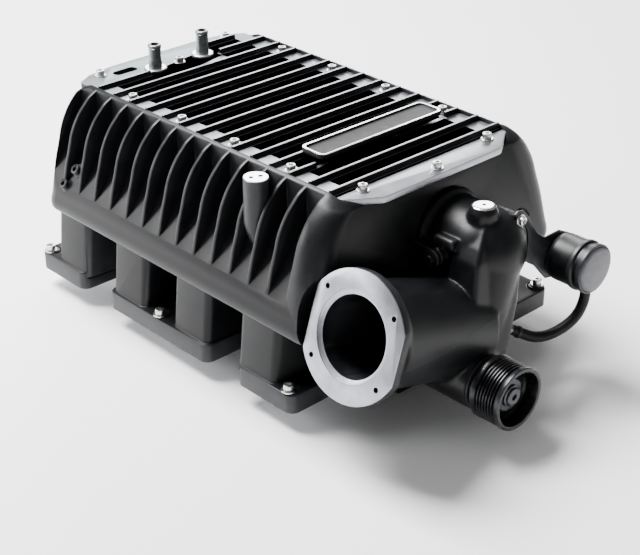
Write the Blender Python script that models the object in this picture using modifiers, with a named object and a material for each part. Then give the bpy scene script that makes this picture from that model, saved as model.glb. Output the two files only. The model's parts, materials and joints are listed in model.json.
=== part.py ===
"""Twin-rotor supercharger for a V8 engine, built as separate named pieces.

The frame: X is across the engine, -Y is the front (pulley end), +Y the rear, +Z up.
The origin lies on the flat belly of the rotor case, midway between the two banks.
All sizes are in metres.
"""

import math

import bmesh
import bpy
from mathutils import Matrix, Vector

# ---------------------------------------------------------------- driving dimensions
BORE_PITCH = 0.1055          # spacing of the cylinders along each bank
DECK_Z = 0.022               # height of the bank flanges' sealing face above the belly
ROTOR_PITCH_RADIUS = 0.038   # half the distance between the rotor axes
ROTOR_AXIS_Z = 0.058
RIB_PITCH = 0.0283           # spacing of the cooling ribs
FRONT_RIB_Y = -0.208
RIB_COUNT = 15
GAP = 0.0003                 # space left between pieces that touch
LIP = 0.002                  # how far a cutter runs past the face that it opens

# ---------------------------------------------------------------- plenum
LID_HALF_WIDTH = 0.121
LID_BOTTOM = 0.2330
LID_TOP = 0.2400
RIB_TOP = 0.2460
RIB_THICK = 0.0055
FRONT_TOP_Y = -0.232         # the front wall leans forward from here, at the rim
FRONT_FOOT_Y = -0.2485       # to here, at its foot
REAR_WALL_Y = 0.196
CORNER_RADIUS = 0.022
RAIL_BOTTOM = 0.107
FLOOR_BOTTOM = 0.1135
SEAT_TOP = LID_BOTTOM - GAP
CAVITY_HALF = 0.098
CAVITY_FRONT = -0.206
CAVITY_REAR = 0.154
PORT_HALF = 0.021            # half the length of a runner port along the bank

# ---------------------------------------------------------------- rotors and case
LOBES = 4
ROTOR_CLEARANCE = 0.0005
ROTOR_FRONT = -0.1885
ROTOR_REAR = 0.1035
ROTOR_TWIST = math.radians(160)
BORE_RADIUS = 0.0481
CASE_RADIUS = 0.0545
CASE_FRONT = -0.190
CASE_REAR = 0.125
CASE_TOP = 0.113
JOURNAL_RADIUS = 0.010
BEARING_OUTER = 0.0175
BEARING_INNER = JOURNAL_RADIUS + GAP
BEARING_WIDTH = 0.012
END_PLATE_FRONT = CASE_FRONT - GAP - 0.0182
GEAR_TEETH = 20
GEAR_FRONT = 0.130
GEAR_REAR = 0.146

# ---------------------------------------------------------------- inlet, snout and pulley
FLANGE_CENTRE = Vector((-0.171, -0.290, 0.141))
TUBE_TILT = math.radians(18)
TUBE_DIRECTION = Vector((math.cos(TUBE_TILT), 0.0, -math.sin(TUBE_TILT)))
TUBE_LENGTH = 0.160
TUBE_RADIUS = 0.050
THROTTLE_BORE = 0.040
THROAT_BOTTOM = 0.045
THROAT_REAR = -0.2385
FLANGE_RADIUS = 0.0645
FLANGE_FLAT = 0.056
SNOUT_RADIUS = 0.030
SNOUT_FRONT = -0.3412
PULLEY_FRONT = -0.386
PULLEY_REAR = -0.350
PULLEY_RADIUS = 0.033
SHAFT_RADIUS = 0.0085

# ---------------------------------------------------------------- bypass valve
ELBOW_X = 0.014
ELBOW_Z = 0.167
ELBOW_Y = -0.288
ELBOW_RADIUS = 0.043
ELBOW_SEAT_Y = -0.2345       # machined seat for the elbow in the front wall
COLLAR_RADIUS = 0.0475
BYPASS_BORE = 0.032
ELBOW_SPLIT_Z = 0.118
VALVE_Y = -0.268
VALVE_SHAFT_RADIUS = 0.0045
LEVER_ARM = 0.020
HALF_SWING = math.radians(37.5)
ROD_X = 0.104
ROD_Z = 0.137
CAN_FRONT = -0.360
CAN_REAR = -0.312
CAN_RADIUS = 0.027


def left_and_right(value):
    """The same distance on each side of the middle plane."""
    return (-value, value)


# ---------------------------------------------------------------- scene helpers
def clear_scene():
    """Removes whatever the file opened with."""
    for old in list(bpy.data.objects):
        bpy.data.objects.remove(old)


def make_collection(name):
    """A collection linked to the scene."""
    group = bpy.data.collections.new(name)
    bpy.context.scene.collection.children.link(group)
    return group


def make_material(name, colour, roughness, metallic):
    """A Principled material."""
    look = bpy.data.materials.new(name)
    look.use_nodes = True
    shader = look.node_tree.nodes["Principled BSDF"]
    shader.inputs["Base Color"].default_value = (*colour, 1.0)
    shader.inputs["Roughness"].default_value = roughness
    shader.inputs["Metallic"].default_value = metallic
    return look


def add_object(name, mesh, look=None):
    """Links a mesh as a part, or as a cutter where it has no material."""
    piece = bpy.data.objects.new(name, mesh)
    if look is None:
        cutters.objects.link(piece)
        piece.hide_render = True
        piece.display_type = "WIRE"
    else:
        parts.objects.link(piece)
        mesh.materials.append(look)
    return piece


def from_bmesh(name, bm, look=None):
    """Turns a bmesh into an object."""
    mesh = bpy.data.meshes.new(name)
    bm.to_mesh(mesh)
    bm.free()
    return add_object(name, mesh, look)


def block(name, low, high, look=None):
    """A box between two corners."""
    bm = bmesh.new()
    bmesh.ops.create_cube(bm, size=1.0)
    low = Vector(low)
    high = Vector(high)
    bmesh.ops.scale(bm, vec=high - low, verts=bm.verts)
    bmesh.ops.translate(bm, vec=(low + high) / 2, verts=bm.verts)
    return from_bmesh(name, bm, look)


def along(start, direction):
    """A matrix that puts local +Z along a direction at a point."""
    turn = Vector(direction).to_track_quat("Z", "Y").to_matrix().to_4x4()
    return Matrix.Translation(start) @ turn


def rod(name, start, end, radius, look=None, end_radius=None, sides=24):
    """A cylinder or cone between two points."""
    start = Vector(start)
    end = Vector(end)
    span = end - start
    bm = bmesh.new()
    bmesh.ops.create_cone(
        bm, cap_ends=True, segments=sides, radius1=radius,
        radius2=radius if end_radius is None else end_radius, depth=span.length,
        matrix=along((start + end) / 2, span))
    return from_bmesh(name, bm, look)


def ball(name, centre, radius, look=None, sides=32):
    """A sphere."""
    bm = bmesh.new()
    bmesh.ops.create_uvsphere(bm, u_segments=sides, v_segments=sides // 2, radius=radius,
                              matrix=Matrix.Translation(centre))
    return from_bmesh(name, bm, look)


def flat_shape(name, loops, half_depth):
    """A mesh made from a filled 2D curve with one or more outlines."""
    curve = bpy.data.curves.new(name, "CURVE")
    curve.dimensions = "2D"
    curve.fill_mode = "BOTH"
    curve.extrude = half_depth
    for loop in loops:
        spline = curve.splines.new("POLY")
        spline.points.add(len(loop) - 1)
        for point, (u, v) in zip(spline.points, loop):
            point.co = (u, v, 0.0, 1.0)
        spline.use_cyclic_u = True
    flat = bpy.data.objects.new(name, curve)
    bpy.context.scene.collection.objects.link(flat)
    depsgraph = bpy.context.evaluated_depsgraph_get()
    mesh = bpy.data.meshes.new_from_object(flat.evaluated_get(depsgraph))
    bpy.data.objects.remove(flat)
    bm = bmesh.new()
    bm.from_mesh(mesh)
    bmesh.ops.remove_doubles(bm, verts=bm.verts, dist=0.00001)
    bmesh.ops.recalc_face_normals(bm, faces=bm.faces)
    bm.to_mesh(mesh)
    bm.free()
    return mesh


SECTION_AXES = {
    "X": Matrix(((0, 0, 1, 0), (1, 0, 0, 0), (0, 1, 0, 0), (0, 0, 0, 1))),
    "Y": Matrix(((1, 0, 0, 0), (0, 0, -1, 0), (0, 1, 0, 0), (0, 0, 0, 1))),
    "Z": Matrix.Identity(4),
}


def extruded(name, loops, low, high, axis, look=None):
    """Outlines drawn across an axis (Y,Z for X; X,Z for Y; X,Y for Z), drawn out between two places."""
    mesh = flat_shape(name, loops, (high - low) / 2)
    middle = Vector((axis == "X", axis == "Y", axis == "Z")) * (low + high) / 2
    mesh.transform(Matrix.Translation(middle) @ SECTION_AXES[axis])
    return add_object(name, mesh, look)


def turned(name, profile, start, direction, look, closed=False, sides=24):
    """A profile of (radius, distance along) turned about an axis. It runs down the outer side."""
    bm = bmesh.new()
    corners = [bm.verts.new((radius, 0.0, height)) for radius, height in profile]
    for first, second in zip(corners, corners[1:]):
        bm.edges.new((first, second))
    if closed:
        bm.edges.new((corners[-1], corners[0]))
    piece = from_bmesh(name, bm, look)
    piece.matrix_world = along(start, direction)
    screw = piece.modifiers.new("turn", "SCREW")
    screw.steps = sides
    screw.render_steps = sides
    screw.use_merge_vertices = True
    screw.merge_threshold = 0.00005
    return piece


def ring(name, start, direction, inner, outer, width, look, sides=20):
    """A plain ring, such as a bearing."""
    profile = [(outer, width), (outer, 0.0), (inner, 0.0), (inner, width)]
    return turned(name, profile, start, direction, look, closed=True, sides=sides)


def combine(target, operation, others):
    """Boolean operations in order, each with the exact solver."""
    for other in others:
        step = target.modifiers.new(other.name, "BOOLEAN")
        step.operation = operation
        step.solver = "EXACT"
        step.object = other
    return target


def cut(target, *others):
    """Takes the others away from the target."""
    return combine(target, "DIFFERENCE", others)


def join(target, *others):
    """Adds the others to the target."""
    return combine(target, "UNION", others)


def many(name, mesh, places, look=None):
    """One object with a copy of a mesh at each place, for copies that don't touch."""
    bm = bmesh.new()
    for place in places:
        first = len(bm.verts)
        bm.from_mesh(mesh)
        bm.verts.ensure_lookup_table()
        bmesh.ops.transform(bm, matrix=place, verts=bm.verts[first:])
    return from_bmesh(name, bm, look)


def upright_bores(name, spots, radius, low, high, sides=8):
    """A cutter of upright holes at a list of (x, y)."""
    bm = bmesh.new()
    for x, y in spots:
        bmesh.ops.create_cone(bm, cap_ends=True, segments=sides, radius1=radius, radius2=radius,
                              depth=high - low, matrix=Matrix.Translation((x, y, (low + high) / 2)))
    return from_bmesh(name, bm)


def arc(centre, radius, first, last, count):
    """Points along an arc, angles in degrees."""
    points = []
    for index in range(count):
        angle = math.radians(first + (last - first) * index / (count - 1))
        points.append((centre[0] + radius * math.cos(angle), centre[1] + radius * math.sin(angle)))
    return points


def mirrored(points):
    """A left half outline, closed by its mirror image on the right."""
    return points + [(-x, z) for x, z in reversed(points)]


def shaded(piece, degrees=35):
    """Smooth shading, with sharp edges kept."""
    piece.data.shade_smooth()
    piece.data.set_sharp_from_angle(angle=math.radians(degrees))
    return piece


# ---------------------------------------------------------------- shared shapes
def rib_y(index):
    """Where a cooling rib lies: 0 at the rear wall, rising towards the front."""
    return FRONT_RIB_Y + (RIB_COUNT - 1 - index) * RIB_PITCH


def lid_outline(inset=0.0):
    """The lid's plan, with its corners cut back."""
    half = LID_HALF_WIDTH - inset
    front = -0.245 + inset
    rear = 0.214 - inset
    right = [(half, -0.219), (half, 0.196), (0.098 - inset, 0.209), (0.066, rear)]
    left = [(-0.066, rear), (-0.098 + inset, 0.209), (-half, 0.196), (-half, -0.219)]
    return left + [(-0.084, front), (0.084, front)] + right


def seal_outline(half, front, rear, corner=0.010):
    """A rounded rectangle round the plenum chamber."""
    points = arc((half - corner, rear - corner), corner, 0, 90, 4)
    points += arc((-half + corner, rear - corner), corner, 90, 180, 4)
    points += arc((-half + corner, front + corner), corner, 180, 270, 4)
    points += arc((half - corner, front + corner), corner, 270, 360, 4)
    return points


def lid_bolt_spots():
    """The centres of the lid's bolts."""
    sides = [rib_y(index) - 0.62 * RIB_PITCH for index in (2, 5, 8, 11)]
    spots = [(x, y) for y in sides for x in left_and_right(0.109)]
    spots += [(-0.0895, -0.2206), (0.0, -0.234), (0.0895, -0.2206)]
    spots += [(-0.092, 0.197), (0.0, 0.170), (0.092, 0.197)]
    return spots


def runner_centres():
    """The four runners along a bank, front first."""
    return [(index - 1.5) * BORE_PITCH for index in range(4)]


def case_outline(top=CASE_TOP):
    """Section of the rotor case: two bores' walls on a flat belly."""
    centre = (-ROTOR_PITCH_RADIUS, ROTOR_AXIS_Z)
    wall = arc(centre, CASE_RADIUS, 180, 250, 8)
    left = [(wall[0][0], top)] + wall + [(-0.050, 0.0)]
    return mirrored(left)


def twin_hull(radius, count=12):
    """Two equal circles on the rotor axes, with straight sides between them."""
    left = arc((-ROTOR_PITCH_RADIUS, ROTOR_AXIS_Z), radius, 90, 270, count)
    right = arc((ROTOR_PITCH_RADIUS, ROTOR_AXIS_Z), radius, 270, 450, count)
    return left + right


def across_rotors(name, front, rear, radius, sides):
    """A cutter with a bore on each rotor axis."""
    left = rod(name + "_left", (-ROTOR_PITCH_RADIUS, front, ROTOR_AXIS_Z),
               (-ROTOR_PITCH_RADIUS, rear, ROTOR_AXIS_Z), radius, sides=sides)
    right = rod(name + "_right", (ROTOR_PITCH_RADIUS, front, ROTOR_AXIS_Z),
                (ROTOR_PITCH_RADIUS, rear, ROTOR_AXIS_Z), radius, sides=sides)
    return left, right


# ---------------------------------------------------------------- plenum pieces
FIN_PROFILE = [(-LID_HALF_WIDTH - GAP, 0.2445), (-0.1334, 0.2385), (-0.1513, 0.2205), (-0.1612, 0.203),
               (-0.1736, 0.1617), (-0.1835, 0.119), (-0.1815, 0.111), (-0.175, RAIL_BOTTOM)]
POCKET_BASE = [(-0.1245, 0.260), (-0.1245, 0.207), (-0.1785, 0.139), (-0.215, 0.139), (-0.215, 0.260)]
GALLERY = [(-0.083, 0.127), (-0.083, 0.170), (-0.098, 0.217), (-0.116, 0.204), (-0.160, 0.143),
           (-0.160, 0.127)]
POST_X = -0.150
POST_Y = -0.1355
POST_TOP = 0.245


def leaning_plan():
    """A cutter of the housing's plan with rounded corners, its front face leaning forward to the foot."""
    side = -FIN_PROFILE[-3][0]
    plan = seal_outline(side, FRONT_FOOT_Y, REAR_WALL_Y, CORNER_RADIUS)
    piece = extruded("plan_shape", [plan], 0.100, 0.250, "Z")
    for corner in piece.data.vertices:
        if corner.co.y < 0.0 and corner.co.z > 0.2:
            corner.co.y += FRONT_TOP_Y - FRONT_FOOT_Y
    return piece


def make_manifold_housing():
    """The plenum with its side ribs, seat for the lid, side galleries and ports."""
    section = [(-LID_HALF_WIDTH - GAP, SEAT_TOP)] + FIN_PROFILE
    section += [(-0.099, RAIL_BOTTOM), (-0.095, FLOOR_BOTTOM)]
    housing = extruded("manifold_housing", [mirrored(section)], FRONT_FOOT_Y, REAR_WALL_Y, "Y", casting)
    rim = extruded("rim_shape", [lid_outline(0.0015)], 0.219, SEAT_TOP, "Z")
    post = rod("post_shape", (POST_X, POST_Y, 0.160), (POST_X, POST_Y, POST_TOP), 0.014, sides=20)

    pocket = extruded("pocket_shape", [POCKET_BASE], RIB_THICK / 2 - RIB_PITCH,
                      -RIB_THICK / 2, "Y").data
    places = []
    for index in range(RIB_COUNT - 1):
        place = Matrix.Translation((0.0, rib_y(index), 0.0))
        places.append(place)
        places.append(Matrix.Rotation(math.pi, 4, "Z")
                      @ Matrix.Translation((0.0, RIB_PITCH - rib_y(index), 0.0)))
    pockets = many("pockets_cutter", pocket, places)

    upper = block("upper_chamber_cutter", (-CAVITY_HALF, CAVITY_FRONT, 0.160),
                  (CAVITY_HALF, CAVITY_REAR, 0.250))
    lower = block("lower_chamber_cutter", (-0.062, -0.150, 0.125), (0.062, 0.135, 0.165))
    discharge = block("discharge_cutter", (-0.030, -0.100, 0.105), (0.030, 0.090, 0.130))
    charge_left = extruded("charge_left_cutter", [GALLERY], -0.200, 0.184, "Y")
    charge_right = extruded("charge_right_cutter", [[(-x, z) for x, z in reversed(GALLERY)]], -0.200, 0.184,
                            "Y")
    port = block("port_shape", (0.120, -PORT_HALF, 0.100), (0.159, PORT_HALF, 0.135)).data
    port_places = []
    for y in runner_centres():
        port_places.append(Matrix.Translation((0.0, y, 0.0)))
        port_places.append(Matrix.Translation((0.0, y, 0.0)) @ Matrix.Rotation(math.pi, 4, "Z"))
    ports = many("ports_cutter", port, port_places)
    groove = extruded("seal_groove_cutter",
                      [seal_outline(0.1041, -0.2121, 0.1601), seal_outline(0.1002, -0.2082, 0.1562)],
                      SEAT_TOP - 0.004, SEAT_TOP + LIP, "Z")
    bolt_bores = upright_bores("lid_thread_cutter", lid_bolt_spots(), 0.0033, SEAT_TOP - 0.013,
                               SEAT_TOP + LIP)
    bypass = rod("bypass_port_cutter", (ELBOW_X, ELBOW_SEAT_Y - LIP, ELBOW_Z + 0.006),
                 (ELBOW_X, CAVITY_FRONT + LIP, ELBOW_Z + 0.006), 0.027, sides=24)
    elbow_seat = rod("elbow_seat_cutter", (ELBOW_X, -0.260, ELBOW_Z), (ELBOW_X, ELBOW_SEAT_Y, ELBOW_Z),
                     COLLAR_RADIUS + 2 * GAP, sides=28)
    flange_clear = rod("flange_clear_cutter", tube_point(-0.020), tube_point(0.0125), FLANGE_RADIUS + 0.0015)
    tube_clear = rod("housing_tube_cutter", tube_point(0.0), tube_point(TUBE_LENGTH), 0.0545,
                     end_radius=TUBE_RADIUS + 0.001)
    coolant = upright_bores("coolant_bore_cutter", [(x, 0.170) for x in left_and_right(0.0345)],
                            0.006, 0.209, SEAT_TOP + LIP, 12)
    gallery_left = rod("gallery_left_cutter", (-0.0345, 0.1705, 0.214), (-0.0345, 0.150, 0.214), 0.0055,
                       sides=12)
    gallery_right = rod("gallery_right_cutter", (0.0345, 0.1705, 0.214), (0.0345, 0.150, 0.214), 0.0055,
                        sides=12)
    combine(housing, "INTERSECT", [leaning_plan()])
    join(housing, rim)
    cut(housing, pockets)
    join(housing, post)
    cut(housing, upper, lower, discharge, charge_left, charge_right, ports, groove, bolt_bores, bypass,
        elbow_seat, flange_clear, tube_clear, coolant, gallery_left, gallery_right)
    seal = extruded("lid_seal", [seal_outline(0.1038, -0.2118, 0.1598),
                                 seal_outline(0.1005, -0.2085, 0.1565)],
                    SEAT_TOP - 0.0037, SEAT_TOP, "Z", rubber)
    return housing, seal


def make_lid():
    """The ribbed lid with its badge plate."""
    lid = extruded("plenum_lid", [lid_outline()], LID_BOTTOM, LID_TOP, "Z", satin_cast)
    rib = block("lid_rib_shape", (-LID_HALF_WIDTH, -RIB_THICK / 2, LID_TOP - 0.001),
                (LID_HALF_WIDTH, RIB_THICK / 2, RIB_TOP)).data
    ribs = many("lid_ribs_shape", rib, [Matrix.Translation((0.0, rib_y(index), 0.0))
                                        for index in range(2, RIB_COUNT)])
    short = block("short_rib_shape", (0.060, rib_y(1) - RIB_THICK / 2, LID_TOP - 0.001),
                  (LID_HALF_WIDTH, rib_y(1) + RIB_THICK / 2, RIB_TOP)).data
    shorts = many("short_ribs_shape", short,
                  [Matrix.Identity(4), Matrix.Translation((-0.060 - LID_HALF_WIDTH, 0.0, 0.0))])
    holes = upright_bores("lid_holes_cutter", lid_bolt_spots(), 0.0033, LID_BOTTOM - LIP, LID_TOP + 0.01)
    fitting_holes = upright_bores("fitting_holes_cutter", [(x, 0.170) for x in left_and_right(0.0345)],
                                  0.0065, LID_BOTTOM - LIP, LID_TOP + LIP, 16)
    join(lid, ribs, shorts)
    cut(lid, holes, fitting_holes)
    block("badge_plate", (-0.080, -0.1555, RIB_TOP + GAP), (0.095, -0.1205, RIB_TOP + 0.0055), bright)
    return lid


def make_bolt(name, x, y, seat, shank_radius, shank_length, look, head_radius=0.0048, head=0.0056):
    """A socket-head bolt with its washer, standing upright on a face."""
    washer = head_radius * 1.4
    socket = head_radius * 0.5
    top = 0.0012 + head
    profile = [(0.0, top - head * 0.55), (socket, top - head * 0.55), (socket, top), (head_radius, top),
               (head_radius, 0.0012), (washer, 0.0012), (washer, 0.0), (shank_radius, 0.0),
               (shank_radius, -shank_length), (0.0, -shank_length)]
    return shaded(turned(name, profile, (x, y, seat + GAP), (0, 0, 1), look, sides=10))


def make_lid_bolts():
    """The bolts round the lid."""
    for number, (x, y) in enumerate(lid_bolt_spots(), 1):
        make_bolt(f"lid_bolt_{number:02d}", x, y, LID_TOP, 0.0030, 0.018, zinc)


FITTING_PROFILE = [(0.0045, 0.031), (0.0062, 0.031), (0.0076, 0.027), (0.0064, 0.026), (0.0064, 0.021),
                   (0.0076, 0.019), (0.0064, 0.018), (0.0064, 0.006), (0.0088, 0.005), (0.0088, 0.0),
                   (0.0061, 0.0), (0.0061, -0.006), (0.0045, -0.006)]


def make_coolant_fittings():
    """The two upright hose barbs."""
    for side, x in zip(("left", "right"), left_and_right(0.0345)):
        shaded(turned(f"coolant_fitting_{side}", FITTING_PROFILE, (x, 0.170, LID_TOP + GAP), (0, 0, 1),
                      steel, closed=True, sides=14))


def make_intercooler():
    """The core that the charge air passes up through, with a tank at each end."""
    core = block("intercooler_core", (-0.072, -0.170, 0.160 + GAP), (0.072, 0.136, 0.204), core_alloy)
    front_tank = block("front_tank_shape", (-0.076, -0.186, 0.160 + GAP), (0.076, -0.168, 0.208))
    rear_tank = block("rear_tank_shape", (-0.076, 0.134, 0.160 + GAP), (0.076, 0.152, 0.224))
    join(core, front_tank, rear_tank)
    return core


RUNNER_TOP = RAIL_BOTTOM - GAP
RUNNER_HALF = 0.029
FLANGE_TOP = DECK_Z + 0.022
BANK_PIECES = (
    ("front", (0,), (-0.2165, -0.1320), (-0.2050,)),
    ("middle", (1, 2), (-0.0820, 0.0820), (0.0,)),
    ("rear", (3,), (0.1320, 0.2165), (0.2050,)),
)
BANK_BOLT_X = 0.1735
RIGHT_LUG_Y = -0.2346
RIGHT_LUG_FRONT = -0.2465


def make_runners():
    """The runners of both banks, each group on its own flange."""
    for side, sign in (("left", -1), ("right", 1)):
        for place, members, (low, high), bolts in BANK_PIECES:
            if sign > 0 and place == "front":
                low, bolts = RIGHT_LUG_FRONT, (RIGHT_LUG_Y,)
            centres = [runner_centres()[member] for member in members]
            x_low, x_high = sorted((sign * 0.112, sign * 0.1815))
            name = f"runner_{side}_{place}"
            flange = [(x_low, low + 0.006), (x_low + 0.006, low), (x_high - 0.006, low),
                      (x_high, low + 0.006), (x_high, high - 0.006), (x_high - 0.006, high),
                      (x_low + 0.006, high), (x_low, high - 0.006)]
            piece = extruded(name, [flange], DECK_Z, FLANGE_TOP, "Z", casting)
            section = [(sign * 0.112, RUNNER_TOP), (sign * 0.114, 0.040), (sign * 0.1775, 0.040),
                       (sign * 0.1760, 0.046), (sign * 0.1700, RUNNER_TOP)]
            ports = []
            for index, y in enumerate(centres):
                tube = extruded(f"{name}_tube{index}", [section], y - RUNNER_HALF, y + RUNNER_HALF, "Y")
                join(piece, tube)
                port_low, port_high = sorted((sign * 0.120, sign * 0.162))
                ports.append(block(f"{name}_port{index}", (port_low, y - 0.021, DECK_Z - LIP),
                                   (port_high, y + 0.021, RUNNER_TOP + LIP)))
            bolt_holes = upright_bores(f"{name}_bolt_hole", [(sign * BANK_BOLT_X, y) for y in bolts],
                                       0.0036, DECK_Z - LIP, FLANGE_TOP + LIP)
            cut(piece, *ports, bolt_holes)
            for number, y in enumerate(bolts):
                make_bolt(f"flange_bolt_{side}_{place}", sign * BANK_BOLT_X, y, FLANGE_TOP, 0.0033,
                          0.0225, zinc, 0.0052)


# ---------------------------------------------------------------- rotor case and its insides
def make_rotor_case():
    """The two-bore case with its discharge port and rear bearing wall."""
    case = extruded("rotor_case", [case_outline()], CASE_FRONT, CASE_REAR, "Y", casting)
    bores = across_rotors("rotor_bore_cutter", CASE_FRONT - LIP, 0.105, BORE_RADIUS, 36)
    window = block("case_window_cutter", (-0.030, -0.100, 0.085), (0.030, 0.090, CASE_TOP + LIP))
    pockets = across_rotors("rear_bearing_cutter", 0.1075, CASE_REAR + LIP, BEARING_OUTER + GAP, 24)
    holes = across_rotors("rear_journal_cutter", 0.100, 0.110, 0.0125, 16)
    cut(case, *bores, window, *pockets, *holes)
    return case


def make_bearings():
    """One ring on each rotor journal at each end, and one in the snout."""
    for end, y in (("front", -0.2065), ("rear", 0.1085)):
        for which, x in zip(("drive", "driven"), left_and_right(ROTOR_PITCH_RADIUS)):
            shaded(ring(f"{end}_bearing_{which}", (x, y, ROTOR_AXIS_Z), (0, 1, 0), BEARING_INNER,
                        BEARING_OUTER, BEARING_WIDTH, steel))
    shaded(ring("snout_bearing", (-ROTOR_PITCH_RADIUS, SNOUT_FRONT + GAP, ROTOR_AXIS_Z), (0, 1, 0),
                SHAFT_RADIUS + GAP, 0.0170, BEARING_WIDTH, steel))


def make_end_plate():
    """The front bearing plate, with a window on each side that lets the air in."""
    plate = extruded("front_bearing_plate", [case_outline(0.1125)], END_PLATE_FRONT, CASE_FRONT - GAP,
                     "Y", satin_cast)
    pockets = across_rotors("front_bearing_cutter", -0.2068, -0.1942, BEARING_OUTER + GAP, 24)
    mouths = across_rotors("front_mouth_cutter", END_PLATE_FRONT - LIP, -0.2060, 0.0145, 16)
    holes = across_rotors("front_journal_cutter", -0.1950, CASE_FRONT + LIP, 0.0125, 16)
    windows = [block(f"inlet_window_cutter_{index}", (low, END_PLATE_FRONT - LIP, 0.0145),
                     (high, CASE_FRONT + LIP, 0.0345))
               for index, (low, high) in enumerate(((-0.064, -0.006), (0.006, 0.064)))]
    cut(plate, *pockets, *mouths, *holes, *windows)
    return plate


def rotor_profile():
    """Outline of a rotor: epicycloid lobes and hypocycloid roots, slightly undersize."""
    rolling = ROTOR_PITCH_RADIUS / (2 * LOBES)
    arc_span = math.pi / LOBES
    steps = 6
    points = []
    for half in range(2 * LOBES):
        outward = 1 if half % 2 == 0 else -1
        for step in range(steps):
            roll = arc_span * step / steps
            reach = ROTOR_PITCH_RADIUS + outward * rolling
            inner_angle = reach / rolling * roll
            x = reach * math.cos(roll) - outward * rolling * math.cos(inner_angle)
            y = reach * math.sin(roll) - rolling * math.sin(inner_angle)
            base = half * arc_span - arc_span / 2
            radius = math.hypot(x, y) - ROTOR_CLEARANCE
            angle = math.atan2(y, x) + base
            points.append((radius, angle))
    return points


def make_rotor(name, x, hand, phase, front_journal, look):
    """A helical rotor with its journals, lofted between turned copies of its profile."""
    profile = rotor_profile()
    sections = 12
    bm = bmesh.new()
    loops = []
    for section in range(sections):
        share = section / (sections - 1)
        y = ROTOR_FRONT + share * (ROTOR_REAR - ROTOR_FRONT)
        turn = phase + hand * ROTOR_TWIST * share
        loops.append([bm.verts.new((x + radius * math.cos(angle + turn), y,
                                    ROTOR_AXIS_Z + radius * math.sin(angle + turn)))
                      for radius, angle in profile])
    for near, far in zip(loops, loops[1:]):
        for index in range(len(profile)):
            after = (index + 1) % len(profile)
            bm.faces.new((near[index], near[after], far[after], far[index]))
    bm.faces.new(loops[0])
    bm.faces.new(loops[-1])
    bmesh.ops.recalc_face_normals(bm, faces=bm.faces)
    rotor = from_bmesh(name, bm, look)
    front = rod(name + "_front_journal", (x, front_journal, ROTOR_AXIS_Z),
                (x, ROTOR_FRONT + 0.01, ROTOR_AXIS_Z), JOURNAL_RADIUS, sides=20)
    rear = rod(name + "_rear_journal", (x, ROTOR_REAR - 0.01, ROTOR_AXIS_Z),
               (x, GEAR_REAR + 0.003, ROTOR_AXIS_Z), JOURNAL_RADIUS, sides=20)
    return join(rotor, front, rear)


def gear_outline(phase):
    """An involute gear outline with a little backlash, as points about its own centre."""
    pressure = math.radians(20)
    pitch = ROTOR_PITCH_RADIUS
    module = 2 * pitch / GEAR_TEETH
    base = pitch * math.cos(pressure)
    root = pitch - 1.15 * module
    tip = pitch + 0.9 * module
    backlash = 0.00045

    def involute(radius):
        ratio = math.sqrt(max((radius / base) ** 2 - 1.0, 0.0))
        return ratio - math.atan(ratio)

    half_at_pitch = (math.pi * module / 2 - backlash) / (2 * pitch)
    flank = [(root, half_at_pitch + involute(pitch))]
    for radius in (base + 0.0003, pitch, tip):
        flank.append((radius, half_at_pitch + involute(pitch) - involute(radius)))
    points = []
    for tooth in range(GEAR_TEETH):
        middle = phase + 2 * math.pi * tooth / GEAR_TEETH
        points += [(radius, middle - half) for radius, half in flank]
        points += [(radius, middle + half) for radius, half in reversed(flank)]
    return [(radius * math.cos(angle), radius * math.sin(angle)) for radius, angle in points]


def make_gear(name, x, phase, look):
    """A timing gear on a rotor's rear journal."""
    teeth = [(x + u, ROTOR_AXIS_Z + v) for u, v in gear_outline(phase)]
    bore = arc((x, ROTOR_AXIS_Z), JOURNAL_RADIUS + GAP, 0, 360 - 18, 20)
    return extruded(name, [teeth, bore], GEAR_FRONT, GEAR_REAR, "Y", look)


def make_gear_cover():
    """The cover over the timing gears at the rear."""
    cover = extruded("gear_cover", [twin_hull(0.0500)], CASE_REAR + GAP, 0.160, "Y", casting)
    hollow = extruded("gear_hollow_cutter", [twin_hull(0.0450)], CASE_REAR - LIP, 0.1545, "Y")
    plug = rod("oil_plug_shape", (0.0, 0.155, 0.085), (0.0, 0.166, 0.085), 0.008, sides=6)
    cut(cover, hollow)
    join(cover, plug)
    return cover


# ---------------------------------------------------------------- inlet, elbow and snout
def elbow_leg(name, radius, low_radius):
    """The slanted leg between the elbow and the inlet."""
    return rod(name, (ELBOW_X, ELBOW_Y, 0.172), (-0.016, -0.301, 0.078), radius, end_radius=low_radius)


def tube_point(distance):
    """A point along the inlet tube's axis, from its flange face."""
    return FLANGE_CENTRE + TUBE_DIRECTION * distance


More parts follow.
